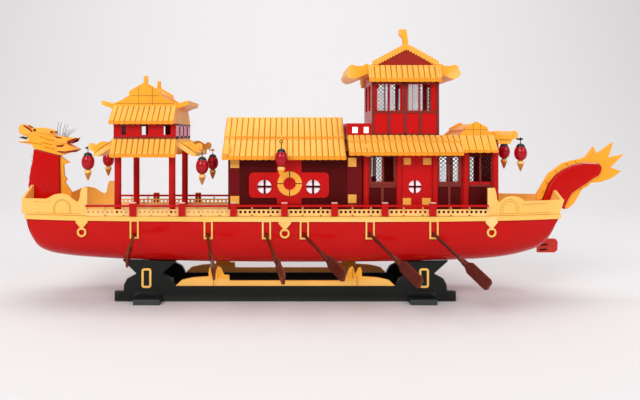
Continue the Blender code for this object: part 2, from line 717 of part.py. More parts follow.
def make_tower():
    holes = panes(60, 88, 152, 183, 2) + panes(145, 169, 152, 183, 2)
    holes += window_quarters(114.5, 145.8, 8.2)
    walls = storey((50, 173), 44, FLOOR, 200.4, holes, (53, 94.5, 139.5), 193.4)
    finish(walls, "tower_lower_walls", "trim_red")

    section = both_sides([(20, 210, 0), (40, 210, 1), (51, 203.5, 1), (49.5, 201.2, 1), (65.5, 190, 1),
                          (65.5, 186.5, 0), (61, 186.5, 0), (45, 200, 0), (38, 205.5, 0), (20, 205.5, 0)])
    finish(tiled("X", 30, 170, 7.4, 0.9, section), "tower_lower_roof", "roof_yellow")

    deck, rail_top = 210 + GAP, 225.6
    openings = [rectangle(left, right, 213.3, 221) for left, right in ((36.3, 43.1), (50.8, 57))]
    balcony = board_xz(rectangle(29.5, 60.5, deck, rail_top), -40, -37.5, openings)
    across = panes(-33, 33, 213.3, 221, 5, 7)
    fuse(balcony, board_yz(rectangle(-38.5, 38.5, deck, rail_top), 29.5, 32, across),
         board_xz(rectangle(29.5, 60.5, deck, rail_top), 37.5, 40, openings))
    finish(balcony, "tower_balcony", "trim_red")

    windows = panes(68, 97, 242, 275, 2, 1.6) + panes(107, 136, 242, 275, 2, 1.6)
    ends = panes(-28, 28, 242, 275, 2, 8)
    walls = storey((61, 146), 38, deck, 287.6, windows, (), 0, (ends, ends))
    finish(walls, "tower_upper_walls", "trim_red")

    section = both_sides([(18, 298.5, 0), (40, 298.5, 1), (50, 281.5, 1), (50, 278, 0), (44.5, 278, 0),
                          (36.5, 292, 0), (18, 292, 0)])
    roof = tiled("X", 57, 146.5, 6.9, 0.9, section)
    slope = [(61, 294), (61, 299.5), (64, 303.2), (104, 325.4), (143.5, 303.2), (146, 299.5), (146, 294)]
    fuse(roof, board_xz(slope, -39.5, 39.5))
    curl = [(-7, 287.9), (5, 287.9), (11, 285.5), (17, 283), (24, 281.2), (30, 284), (31.5, 289),
            (29.5, 293), (28, 298), (24, 299.8), (19, 298), (11, 298), (6, 301), (2.5, 299.6), (-7, 299)]
    for wall, outward in ((60, -1), (141.5, 1)):
        outline = [(wall + outward * a, z) for a, z in curl]
        fuse(roof, board_xz(outline, -41, 41))
    finial = [(101, 321), (107.5, 321), (106.5, 333), (104.5, 344.5), (96, 344.5), (95.8, 338), (100, 334)]
    fuse(roof, board_xz(finial, -39, -32))
    finish(roof, "tower_upper_roof", "roof_yellow")


def make_rear_pavilion():
    holes = panes(183, 210, 152, 183, 2)
    walls = storey((173 + GAP, 219.5), 44, FLOOR, 201.2, holes, (178, 215), 193)
    finish(walls, "rear_walls", "trim_red")

    section = both_sides([(20, 210, 0), (42, 210, 1), (56.5, 192, 1), (56.5, 189.8, 0), (52, 189.8, 0),
                          (43.5, 202.5, 0), (20, 204.5, 0)])
    roof = tiled("X", 170 + GAP, 215.3, 9, 0.9, section)
    half = [(172.3, 206), (172.3, 211.8), (179.3, 217), (179.3, 220.3)]
    gable_block(roof, half + [(193.2, 227.8)] + mirrored(half, 193.2), 41)
    curl = [(211, 205), (211, 208.5), (216, 209.5), (216.5, 214), (219, 215.5), (222, 214.5), (224, 211),
            (233, 210.3), (236, 213), (238.8, 216), (243, 215), (245.6, 211.8), (245, 207), (240, 205.5),
            (237.5, 203.5), (236.3, 199.6), (220.2, 199.6), (220, 205)]
    fuse(roof, board_xz(curl, -40, 40))
    hang(roof, ("lantern_rear_port", "lantern_rear_starboard"), REAR_WIRE)
    finish(roof, "rear_roof", "roof_yellow")


def make_lanterns():
    """Bead, cap and tassel under a wire eye; the object's origin is on the pin."""
    centre = -LANTERN_DROP
    profile = [(0, -2.0), (0.6, -2.1), (0.6, centre + 11.2), (2.6, centre + 11), (3.0, centre + 8.6),
               (6.4, centre + 6), (7.9, centre + 1), (6.6, centre - 5), (3.2, centre - 8.8),
               (3.7, centre - 12), (0, centre - 23)]
    for name, x, y, z, direction in LANTERNS:
        lantern = lathe(profile, 10)
        eye = ring(EYE_RADIUS, EYE_WIRE)
        if direction == "Y":
            place(eye, Matrix.Rotation(math.radians(90), 4, "Z"))
        finish(fuse(lantern, eye), name, "lantern_red", True, (x, y, z))


def make_oars():
    """Each oar runs from its port to its blade; its object stands at the port and leans out."""
    for side, word in ((-1, "port"), (1, "starboard")):
        for number, (z, aft, out, up) in enumerate(OARS):
            x = PORT_X[number] - 1
            way = Vector((aft, side * out, up)).normalized()
            shaft = rod((0, 0, 0), (0, 0, OAR_LENGTH - BLADE_LENGTH + 4), OAR_RADIUS, 10)
            start = OAR_LENGTH - BLADE_LENGTH
            half, neck = BLADE_WIDTH / 2, 3.4
            blade = [(-neck, start - 6), (neck, start - 6), (neck + 0.4, start), (half, start + 5),
                     (half, OAR_LENGTH - 3), (half - 2.5, OAR_LENGTH), (-half + 2.5, OAR_LENGTH),
                     (-half, OAR_LENGTH - 3), (-half, start + 5), (-neck - 0.4, start)]
            collar = rod((0, 0, start - COLLAR_LENGTH), (0, 0, start + 1), COLLAR_RADIUS, 10)
            oar = fuse(shaft, collar, board_xz(blade, -BLADE_THICK / 2, BLADE_THICK / 2))
            turn = way.to_track_quat("Z", "X")
            rim = OAR_RADIUS * math.sqrt(1 - way.y ** 2)
            height = (HULL_TOP - z) / (HULL_TOP - keel(x))
            hull_y = half_beam(x) * (1 - height ** HULL_POWER) ** (1 / HULL_POWER)
            start_y = side * (hull_y + 0.5 + rim)
            finish(oar, "oar_%s_%d" % (word, number + 1), "oar_brown", True, (x, start_y, z))
            oar.rotation_mode = "QUATERNION"
            oar.rotation_quaternion = turn


def make_rudder():
    """A blade on an upright stock; the object's origin is on the stock's axis."""
    blade = [(-3.5, 55), (18.5, 55), (22.5, 58), (23, 69), (20.5, 73), (11.5, 73), (5.5, 72), (-3.5, 64.5)]
    rudder = board_xz(blade, -2.2, 2.2)
    fuse(rudder, rod((0, 0, 60), (0, 0, HOLE_TOP - GAP), STOCK_RADIUS, 16))
    finish(rudder, "rudder", "rudder_red", location=(STOCK_X, 0, 0))


def bracket_edge(middle):
    """One bracket of the cradle from the middle outwards, with the notch over its beam first;
    points are distances from CRADLE_MIDDLE."""
    notch = BEAM_HALF + GAP
    edge = [(middle - notch, RAIL_FOOT), (middle - notch, BEAM_CORE_TOP + GAP),
            (middle + notch, BEAM_CORE_TOP + GAP), (middle + notch, RAIL_FOOT),
            (middle + BLOCK_END, RAIL_FOOT), (middle + BLOCK_END, BLOCK_TOP), (middle + 32.5, BLOCK_TOP)]
    edge += [(middle + a, z) for a, z in BRACKET_FLANK]
    steps = 6
    for i in range(steps + 1):
        edge.append((middle + BRACKET_TOP_HALF * (1 - 2 * i / steps), None))
    edge += [(middle - a, z) for a, z in reversed(BRACKET_FLANK)]
    return edge + [(middle - 32.5, CRADLE_RAIL_TOP)]


def make_cradle():
    edge = bracket_edge(BRACKET_AT)
    outline = []
    for way, points in ((-1, edge), (1, edge[::-1])):
        for a, z in points:
            x = CRADLE_MIDDLE + way * a
            outline.append((x, hull_z(x, CRADLE_INNER) - GAP if z is None else z))
    fret = [(CRADLE_MIDDLE - a, z + GAP) for a, z in FRET_EDGE]
    fret = [(fret[0][0], CRADLE_RAIL_TOP + GAP)] + fret + mirrored(fret, CRADLE_MIDDLE)
    fret.append((2 * CRADLE_MIDDLE - fret[0][0], CRADLE_RAIL_TOP + GAP))
    for side, word in ((-1, "port"), (1, "starboard")):
        faces = sorted((side * CRADLE_INNER, side * CRADLE_OUTER))
        finish(board_xz(outline, *faces), "cradle_side_" + word, "cradle_black")
        faces = sorted((side * (CRADLE_OUTER - 1), side * (CRADLE_OUTER - 4)))
        finish(board_xz(fret, *faces), "cradle_fret_" + word, "roof_yellow")
    for way, word in ((-1, "fore"), (1, "aft")):
        middle = CRADLE_MIDDLE + way * BRACKET_AT
        ends = (middle - BEAM_HALF, middle + BEAM_HALF)
        beam = block(ends, (-CRADLE_OUTER + 0.5, CRADLE_OUTER - 0.5), (0, BEAM_CORE_TOP))
        fuse(beam, block(ends, (-BEAM_REACH, BEAM_REACH), (0, BEAM_END_TOP)))
        finish(beam, "cradle_beam_" + word, "cradle_black")


clear_scene()
make_hull()
make_deck()
for side_sign, side_word in ((-1, "port"), (1, "starboard")):
    make_gunwale("gunwale_" + side_word, side_sign)
    make_fence(side_sign, side_word)
make_bow_bulwark()
make_stern_bulwark()
make_dragon()
make_front_pavilion()
make_cabin()
make_tower()
make_rear_pavilion()
make_lanterns()
make_oars()
make_rudder()
make_cradle()
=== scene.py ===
"""Looks of a wooden dragon boat display model with pavilions, on its cradle.

Sizes are in millimetres here and become metres as each piece is finished.
+X runs aft, +Y to starboard and +Z up, as in the frame.
"""

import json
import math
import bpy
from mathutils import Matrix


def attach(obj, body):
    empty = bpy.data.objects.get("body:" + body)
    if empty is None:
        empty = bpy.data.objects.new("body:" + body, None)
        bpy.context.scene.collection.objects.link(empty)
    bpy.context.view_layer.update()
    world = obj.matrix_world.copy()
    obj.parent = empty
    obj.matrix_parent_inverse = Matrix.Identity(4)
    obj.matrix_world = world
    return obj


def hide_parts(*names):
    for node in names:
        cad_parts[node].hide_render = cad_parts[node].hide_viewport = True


bl_info = {
    "name": "Dragon boat model",
    "version": (1, 0, 0),
    "blender": (4, 5, 0),
    "location": "View3D > Sidebar > Dragon boat",
    "description": "Dresses the dragon boat display model and sets up its studio",
    "category": "Object",
}

import bmesh
import bpy
from mathutils import Matrix, Vector
from mathutils.geometry import tessellate_polygon

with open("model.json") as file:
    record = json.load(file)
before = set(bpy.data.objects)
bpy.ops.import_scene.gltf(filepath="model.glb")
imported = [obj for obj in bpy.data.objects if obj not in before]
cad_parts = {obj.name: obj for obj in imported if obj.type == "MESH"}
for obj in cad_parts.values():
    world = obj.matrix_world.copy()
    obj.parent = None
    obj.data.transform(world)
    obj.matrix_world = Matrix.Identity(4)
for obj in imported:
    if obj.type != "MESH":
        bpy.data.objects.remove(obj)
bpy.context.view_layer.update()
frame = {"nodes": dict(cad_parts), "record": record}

MM = 0.001
SIDES = {-1: "port", 1: "starboard"}

# The hull's sections are rounded boxes: x, half beam at the deck, height of the keel line
HULL_TOP = 105.0
HULL_POWER = 3.0
HULL_STATIONS = (
    (-375, 41.5, 100), (-374, 42, 88), (-372.5, 42.4, 80), (-369, 43.3, 71.5), (-363, 45.2, 63.5),
    (-350, 48, 58), (-330, 51.9, 54.8), (-300, 57, 52.4), (-240, 62, 49.5), (-150, 65.5, 47.6),
    (-40, 67, 46.8), (60, 67, 47.2), (150, 64.5, 48.8), (200, 59.9, 50.4), (235, 54.6, 53.7),
    (262, 49.2, 59.5), (278, 45.2, 65.5), (288, 42.5, 76.5), (293.5, 41, 91), (296, 40.3, 100),
)
# Plan of the deck's edge: x, half beam
EDGE_STATIONS = (
    (-385, 35), (-382, 38), (-374, 42), (-360, 46), (-335, 51), (-300, 57), (-240, 62), (-150, 65.5),
    (-40, 67), (60, 67), (150, 64.5), (210, 59), (255, 51), (281, 44.5), (297, 40), (308, 37),
)
FLOOR = 111.3
# Most that a roof tile is turned out of line, in radians
TILE_WOBBLE = 0.006
# Depth of the wood grain under paint
GRAIN_DEPTH = 0.5


# Settings


def length(name, description, millimetres):
    return bpy.props.FloatProperty(
        name=name, description=description, default=millimetres * MM, min=0.0, unit="LENGTH")


def colour(name, description, red, green, blue):
    return bpy.props.FloatVectorProperty(
        name=name, description=description, default=(red, green, blue),
        min=0.0, max=1.0, size=3, subtype="COLOR")


class BoatSizes(bpy.types.PropertyGroup):
    tile_gap: length("Tile gap", "Dark groove between two tiles", 1.3)
    tile_height: length("Tile height", "How far a tile stands above its bed", 1.0)
    lattice_pitch: length("Lattice pitch", "Size of one cell of the window lattice", 5.0)
    lattice_bar: length("Lattice bar", "Width of a lattice bar", 1.3)
    hole_pitch: length("Fence hole pitch", "Distance between the fence's round holes", 5.6)
    hole_radius: length("Fence hole radius", "Radius of the fence's round holes", 1.75)


class BoatColours(bpy.types.PropertyGroup):
    hull: colour("Hull", "Gloss lacquer on the hull", 0.55, 0.003, 0.002)
    trim: colour("Trim", "Red lacquer on columns, rails and walls", 0.52, 0.006, 0.005)
    panel: colour("Panels", "Bright lacquer on the panels", 0.58, 0.005, 0.005)
    cabin: colour("Cabin", "Dark red lacquer on the cabin", 0.085, 0.003, 0.003)
    maroon: colour("Corner boards", "Maroon of the cabin's corner boards", 0.16, 0.006, 0.008)
    frames: colour("Window frames", "Brown-red of the window frames", 0.24, 0.034, 0.026)
    pink: colour("Pavilion end", "Faded pink of the front room's end walls", 0.66, 0.27, 0.40)
    caps: colour("Post caps", "Pale pink of the fence's post caps", 0.92, 0.62, 0.52)
    roof: colour("Roofs", "Yellow paint on roofs and carvings", 1.0, 0.42, 0.03)
    pale: colour("Pale trim", "Pale yellow paint on bulwarks and fences", 1.0, 0.57, 0.13)
    cradle: colour("Cradle", "Black lacquer on the cradle", 0.016, 0.018, 0.016)
    # Painted highlight: the pale pink caps stand for light reflected from the posts' glossy tops
    oar: colour("Oars", "Dark varnish on the oars", 0.13, 0.012, 0.005)
    lantern: colour("Lanterns", "Gloss red of the lantern beads", 0.42, 0.004, 0.012)
    tassel: colour("Tassels", "Orange of the tassels", 0.93, 0.36, 0.09)


def sizes():
    """The user's sizes in millimetres, by name."""
    group = bpy.context.scene.boat_sizes
    return {name: getattr(group, name) / MM for name in BoatSizes.__annotations__}


# Shader node groups and materials


def add_node(tree, kind, values=None, **settings):
    """A node with its settings; values are numbers or sockets for its inputs."""
    made = tree.nodes.new(kind)
    for key, value in settings.items():
        setattr(made, key, value)
    for key, value in (values or {}).items():
        if isinstance(value, bpy.types.NodeSocket):
            tree.links.new(value, made.inputs[key])
        else:
            made.inputs[key].default_value = value
    return made


def new_group(name, inputs, outputs, kind="ShaderNodeTree"):
    """An empty node group; inputs are (name, socket type, default), outputs (name, socket type)."""
    tree = bpy.data.node_groups.new(name, kind)
    for label, socket, default in inputs:
        made = tree.interface.new_socket(label, in_out="INPUT", socket_type="NodeSocket" + socket)
        if default is not None:
            made.default_value = default
    for label, socket in outputs:
        tree.interface.new_socket(label, in_out="OUTPUT", socket_type="NodeSocket" + socket)
    return tree, tree.nodes.new("NodeGroupInput").outputs, tree.nodes.new("NodeGroupOutput")


def maths(tree, operation, *values):
    """The result of a Math node."""
    return add_node(tree, "ShaderNodeMath", dict(enumerate(values)), operation=operation).outputs[0]


def blend_colour(tree, share, first, second):
    """The result of mixing two colours."""
    return add_node(tree, "ShaderNodeMix", {0: share, 6: first, 7: second}, data_type="RGBA").outputs[2]


def noise(tree, where, scale, detail, distortion=0.0):
    """The values of a noise texture."""
    return add_node(tree, "ShaderNodeTexNoise", {
        "Vector": where, "Scale": scale, "Detail": detail, "Distortion": distortion}).outputs[0]


def ranged(tree, value, low, high, start=0.0, end=1.0):
    """A value carried from one range to another, and held there."""
    return add_node(tree, "ShaderNodeMapRange", {
        "Value": value, "From Min": low, "From Max": high, "To Min": start, "To Max": end}).outputs[0]


def grain_group():
    """Wood grain along X: a broad figure and fine pores."""
    tree, given, out = new_group("Wood grain", [
        ("Vector", "Vector", None), ("Fineness", "Float", 1.0)], [("Figure", "Float"), ("Pores", "Float")])
    for name, stretch, detail, distortion, low in (
            ("Figure", (14, 170, 170), 5.0, 0.6, 0.3), ("Pores", (90, 1500, 1500), 2.0, 0.0, 0.45)):
        where = add_node(tree, "ShaderNodeMapping", {"Vector": given["Vector"], "Scale": stretch}).outputs[0]
        streaks = noise(tree, where, given["Fineness"], detail, distortion)
        tree.links.new(ranged(tree, streaks, low, 0.7), out.inputs[name])
    return tree


def paint_group():
    """Brushed paint: the tone wanders over a board and darkens in places; sharp edges get a lighter colour,
    a painted highlight.
    """
    tree, given, out = new_group("Brushed paint", [
        ("Vector", "Vector", None), ("Base", "Color", (0.8, 0.8, 0.8, 1)),
        ("Deep", "Color", (0.5, 0.5, 0.5, 1)), ("Edge", "Color", (1, 1, 1, 1)),
        ("Variation", "Float", 0.3), ("Edge Highlight", "Float", 0.3)],
        [("Color", "Color")])
    wide = ranged(tree, noise(tree, given["Vector"], 26.0, 4.0), 0.35, 0.7)
    wander = maths(tree, "MULTIPLY", wide, given["Variation"])
    body = blend_colour(tree, wander, given["Base"], given["Deep"])
    # Painted highlight: sharp edges, found by pointiness, blend towards the lighter edge colour as if
    # catching the light
    edges = ranged(tree, tree.nodes.new("ShaderNodeNewGeometry").outputs["Pointiness"], 0.53, 0.62)
    lit_edges = maths(tree, "MULTIPLY", edges, given["Edge Highlight"])
    tree.links.new(blend_colour(tree, lit_edges, body, given["Edge"]), out.inputs["Color"])
    return tree


def sheen_group():
    """Roughness that wanders with handling and polishing."""
    tree, given, out = new_group("Handled gloss", [
        ("Vector", "Vector", None), ("Least", "Float", 0.2), ("Most", "Float", 0.4)],
        [("Roughness", "Float")])
    smear = noise(tree, given["Vector"], 45.0, 5.0, 0.5)
    tree.links.new(ranged(tree, smear, 0.3, 0.7, given["Least"], given["Most"]), out.inputs["Roughness"])
    return tree


groups = {}
finishes = {}


def grouped(tree, name, values):
    """The outputs of a shader node group."""
    return add_node(tree, "ShaderNodeGroup", values, node_tree=groups[name]).outputs


def deeper(tone, share):
    """A darker shade of a tone, with its alpha."""
    return tuple(channel * share for channel in tone[:3]) + (1,)


def finish(name, tone, gloss=(0.35, 0.5), coat=0.2, coat_roughness=0.12, grain=0.15, variation=0.35,
           edge=None, edge_highlight=0.3, fineness=1.0, figure=0.0, metallic=0.0, specular=0.12, glow=0.0):
    """A material of paint or lacquer over wood."""
    made = finishes[name] = bpy.data.materials.new(name)
    made.use_nodes = True
    tree = made.node_tree
    shader = tree.nodes["Principled BSDF"]
    where = tree.nodes.new("ShaderNodeTexCoord").outputs["Object"]
    tone = tuple(tone)[:3] + (1,)
    wood = grouped(tree, "grain", {"Vector": where, "Fineness": fineness})
    body = grouped(tree, "paint", {
        "Vector": where, "Base": tone, "Deep": deeper(tone, 0.6), "Edge": edge or tone,
        "Variation": variation, "Edge Highlight": edge_highlight})["Color"]
    if figure:
        body = blend_colour(tree, maths(tree, "MULTIPLY", wood["Figure"], figure), body, deeper(tone, 0.3))
    sheen = grouped(tree, "sheen", {"Vector": where, "Least": gloss[0], "Most": gloss[1]})
    relief = add_node(tree, "ShaderNodeBump", {
        "Height": maths(tree, "ADD", wood["Figure"], wood["Pores"]), "Strength": grain,
        "Distance": GRAIN_DEPTH * MM})
    for socket, source in (("Base Color", body), ("Roughness", sheen["Roughness"]),
                           ("Normal", relief.outputs[0])):
        tree.links.new(source, shader.inputs[socket])
    for socket, value in (("Coat Weight", coat), ("Coat Roughness", coat_roughness), ("Metallic", metallic),
                          ("Specular IOR Level", specular)):
        shader.inputs[socket].default_value = value
    # A glow makes the surface give off light of its own: painted light
    if glow:
        shader.inputs["Emission Color"].default_value = tone
        shader.inputs["Emission Strength"].default_value = glow


def make_finishes():
    """The node groups, then every material on the boat."""
    tone = bpy.context.scene.boat_colours
    groups.update(grain=grain_group(), paint=paint_group(), sheen=sheen_group(), rows=rows_tree())
    finish("hull lacquer", tone.hull, gloss=(0.16, 0.26), coat=0.12, coat_roughness=0.08, variation=0.12,
           grain=0.05, edge_highlight=0.0, specular=0.1)
    # name, tone, gloss, coat, variation
    for name, plain, gloss, coat, variation in (
            ("trim lacquer", tone.trim, (0.22, 0.36), 0.04, 0.2),
            ("panel lacquer", tone.panel, (0.2, 0.32), 0.04, 0.15),
            ("pink lacquer", tone.pink, (0.3, 0.45), 0.1, 0.2),
            # pale post caps: painted highlight on the posts' tops
            ("cap highlight paint", tone.caps, (0.35, 0.5), 0.1, 0.3),
            # the eaves' darker orange is painted shade on their fronts
            ("eave shade paint", (0.90, 0.33, 0.02), (0.4, 0.6), 0.05, 0.35),
            # dark red for the head's marks, partly painted shade under the mane's tufts
            ("red mark and shade paint", (0.30, 0.022, 0.006), (0.4, 0.6), 0.05, 0.35),
            ("gable red", (0.36, 0.020, 0.010), (0.35, 0.5), 0.1, 0.35),
            ("tooth white", (0.9, 0.86, 0.78), (0.3, 0.45), 0.1, 0.1)):
        finish(name, plain, gloss, coat, variation=variation)
    for name, dark in (("cabin lacquer", tone.cabin), ("maroon lacquer", tone.maroon)):
        finish(name, dark, gloss=(0.3, 0.45), coat=0.02, variation=0.4, specular=0.06)
    finish("frame lacquer", tone.frames, gloss=(0.3, 0.45), coat=0.04, variation=0.4, figure=0.3)
    finish("lattice lacquer", deeper(tone.cabin, 0.35), gloss=(0.5, 0.7), coat=0.0, specular=0.02)
    # The lighter edge colours below are painted highlights on sharp edges
    finish("roof paint", tone.roof, gloss=(0.38, 0.55), coat=0.12, edge=(1.0, 0.66, 0.22, 1), edge_highlight=0.5)
    finish("pale paint", tone.pale, coat=0.15, edge=(1.0, 0.76, 0.38, 1), edge_highlight=0.5, variation=0.25)
    finish("cradle lacquer", deeper(tone.cradle, 0.6), gloss=(0.28, 0.45), coat=0.12,
           edge=(0.10, 0.12, 0.11, 1), edge_highlight=0.8)
    finish("oar varnish", tone.oar, gloss=(0.18, 0.3), coat=0.18, figure=0.6, fineness=2.0,
           edge=(0.45, 0.09, 0.03, 1), edge_highlight=0.7)
    finish("bead gloss", tone.lantern, gloss=(0.06, 0.12), coat=0.35, coat_roughness=0.03, grain=0.0,
           variation=0.1)
    finish("cap gloss", (0.012, 0.012, 0.013), gloss=(0.12, 0.2), coat=0.5, grain=0.0)
    finish("tassel thread", tone.tassel, gloss=(0.6, 0.8), coat=0.0, fineness=6.0, grain=0.6, figure=0.5)
    finish("black wire", (0.02, 0.02, 0.02), gloss=(0.3, 0.4), coat=0.0, grain=0.0, metallic=0.6)
    finish("grey wire", (0.28, 0.29, 0.34), gloss=(0.3, 0.4), coat=0.0, grain=0.0)
    finish("rudder paint", (0.70, 0.035, 0.02), gloss=(0.3, 0.5), edge=(0.9, 0.2, 0.12, 1))
    # White that shows through the windows, painted as paper that glows
    finish("glowing window paper", (0.95, 0.82, 0.86), gloss=(0.7, 0.9), coat=0.0, variation=0.05, glow=0.45)
    finish("glowing pane paper", (0.96, 0.96, 0.96), gloss=(0.7, 0.9), coat=0.0, variation=0.05, glow=1.3)
    # Dull darker paint in cuts, grooves and gaps, standing for the shade in them: painted shade
    for name, shade_tone in (("groove shade paint", (0.56, 0.17, 0.010)), ("fine line", (0.52, 0.20, 0.02)),
                       ("engraved line", (0.66, 0.30, 0.05)), ("gap shade paint", (0.03, 0.006, 0.004))):
        finish(name, shade_tone, gloss=(0.6, 0.8), coat=0.0)


# Meshes


class Shape:
    """Gathers the faces of one piece, in millimetres."""

    def __init__(self):
        self.mesh = bmesh.new()

    def add(self, points, faces):
        made = [self.mesh.verts.new(p) for p in points]
        for face in faces:
            self.mesh.faces.new([made[i] for i in face])

    def take(self, mesh, matrix=None):
        """Adds a mesh's faces, carried there by matrix."""
        known = len(self.mesh.verts)
        self.mesh.from_mesh(mesh)
        self.mesh.verts.ensure_lookup_table()
        if matrix:
            bmesh.ops.transform(self.mesh, matrix=matrix, verts=self.mesh.verts[known:])

    def board(self, plane, outline, low, high, holes=()):
        """A board in the XZ or XY plane, from low to high across it."""
        along = {"XZ": lambda a, b, t: (a, t, b), "XY": lambda a, b, t: (a, b, t)}[plane]
        loops = [list(outline)] + [list(hole) for hole in holes]
        flat = [p for loop in loops for p in loop]
        count = len(flat)
        points = [along(a, b, low) for a, b in flat] + [along(a, b, high) for a, b in flat]
        faces = []
        if holes:
            for face in tessellate_polygon([[Vector((a, b, 0)) for a, b in loop] for loop in loops]):
                faces.append(tuple(face))
                faces.append(tuple(i + count for i in reversed(face)))
        else:
            faces.append(tuple(range(count)))
            faces.append(tuple(range(2 * count - 1, count - 1, -1)))
        start = 0
        for loop in loops:
            for i in range(len(loop)):
                here, after = start + i, start + (i + 1) % len(loop)
                faces.append((here, after, after + count, here + count))
            start += len(loop)
        self.add(points, faces)

    def block(self, x, y, z):
        """A box from pairs of limits."""
        x, y = sorted(x), sorted(y)
        self.board("XY", rectangle(*x, *y), *sorted(z))

    def loft(self, rings):
        """Closed rings of equal length, joined in order and capped."""
        size = len(rings[0])
        points = [p for ring in rings for p in ring]
        faces = [tuple(range(size)), tuple(range(len(points) - 1, len(points) - size - 1, -1))]
        for row in range(len(rings) - 1):
            for i in range(size):
                a, b = row * size + i, row * size + (i + 1) % size
                faces.append((b, a, a + size, b + size))
        self.add(points, faces)

    def turned(self, profile, sides, middle):
        """A profile of (radius, z) turned about an upright axis, closed at its ends."""
        self.loft([[middle + Vector((a, b, z)) for a, b in circle(0, 0, radius, sides)]
                   for radius, z in profile])

    def tube(self, route, radius, sides=8):
        """A round wire along a route; radius is one number, or one for each point."""
        points = [Vector(p) for p in route]
        rings = []
        normal = None
        for i, point in enumerate(points):
            way = points[min(i + 1, len(points) - 1)] - points[max(i - 1, 0)]
            way.normalize()
            if normal is None:
                normal = way.orthogonal().normalized()
            normal = (normal - way * normal.dot(way)).normalized()
            other = way.cross(normal)
            thick = radius[i] if isinstance(radius, tuple) else radius
            rings.append([point + (normal * math.cos(t) + other * math.sin(t)) * thick
                          for t in (2 * math.pi * k / sides for k in range(sides))])
        self.loft(rings)


def between(start, end, steps):
    """Evenly spaced values from start to end."""
    return [start + (end - start) * i / steps for i in range(steps + 1)]


def arc(a, b, radius, start, end, steps):
    """Points on an arc, from one angle in degrees to another."""
    return [(a + radius * math.cos(t), b + radius * math.sin(t))
            for t in map(math.radians, between(start, end, steps))]


def circle(a, b, radius, steps=16):
    """Points round a circle."""
    return arc(a, b, radius, 0, 360, steps)[:-1]
def rectangle(left, right, bottom, top):
    """The four corners of a rectangle."""
    return [(left, bottom), (right, bottom), (right, top), (left, top)]


def faces_at(side, near, far):
    """Where a board's two faces stand on one side of the boat, in rising order."""
    return sorted((side * near, side * far))


def both(shape, outline, near, far, holes=()):
    """A board of (x, z) on each side of the boat, from near to far from the middle."""
    for side in SIDES:
        shape.board("XZ", outline, *faces_at(side, near, far), holes)


def side_boards(shape, rows):
    """Boards on both sides, from rows of bottom, top, near, far and each board's x from and to."""
    for bottom, top, near, far, *places in rows:
        for place in places:
            for side in SIDES:
                shape.block(place, (side * near, side * far), (bottom, top))


def cut_lines(shape, rows, sides=6):
    """Thin lines on both sides, from rows of distance from the middle, radius and routes of (x, z)."""
    for distance, radius, *routes in rows:
        for side in SIDES:
            for route in routes:
                shape.tube([(x, side * distance, z) for x, z in route], radius, sides)

def as_mesh(made):
    """The evaluated mesh of an object, with its modifiers applied."""
    graph = bpy.context.evaluated_depsgraph_get()
    return bpy.data.meshes.new_from_object(made.evaluated_get(graph))


def add_piece(mesh, name, finish_name, edge, smooth):
    """Makes the object, rounds its sharp edges and leaves a plain mesh."""
    made = bpy.data.objects.new(name, mesh)
    bpy.context.scene.collection.objects.link(made)
    mesh.materials.clear()
    mesh.materials.append(finishes[finish_name])
    if smooth:
        mesh.shade_smooth()
        mesh.set_sharp_from_angle(angle=math.radians(smooth))
    if edge:
        rounding = made.modifiers.new("rounded edges", "BEVEL")
        rounding.width = edge * MM
        rounding.segments = 2
        rounding.limit_method = "ANGLE"
        rounding.angle_limit = math.radians(32)
        rounding.use_clamp_overlap = True
        mesh.shade_smooth()
        weighted = made.modifiers.new("flat faces stay flat", "WEIGHTED_NORMAL")
        weighted.weight = 80
        made.data = as_mesh(made)
        made.modifiers.clear()
    made.data.name = name
    return made


def finish_piece(shape, name, finish_name, body="boat", stands_for=(), edge=None, smooth=None):
    """Turns a shape into a piece on its body. Edge is a rounding in millimetres."""
    bmesh.ops.remove_doubles(shape.mesh, verts=shape.mesh.verts, dist=0.001)
    bmesh.ops.recalc_face_normals(shape.mesh, faces=shape.mesh.faces)
    mesh = bpy.data.meshes.new(name)
    shape.mesh.to_mesh(mesh)
    shape.mesh.free()
    mesh.transform(Matrix.Scale(MM, 4))
    made = add_piece(mesh, name, finish_name, edge, smooth)
    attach(made, body)
    if stands_for:
        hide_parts(*stands_for)


def softened(node, finish_name, edge, body="boat"):
    """A copy of a solid with rounded edges, which stands for it. Edge is in millimetres."""
    work = bmesh.new()
    work.from_mesh(frame["nodes"][node].data)
    bmesh.ops.remove_doubles(work, verts=work.verts, dist=0.00002)
    mesh = bpy.data.meshes.new(node + "_soft")
    work.to_mesh(mesh)
    work.free()
    made = add_piece(mesh, node + "_soft", finish_name, edge, None)
    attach(made, body)
    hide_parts(node)


# Rows of cells


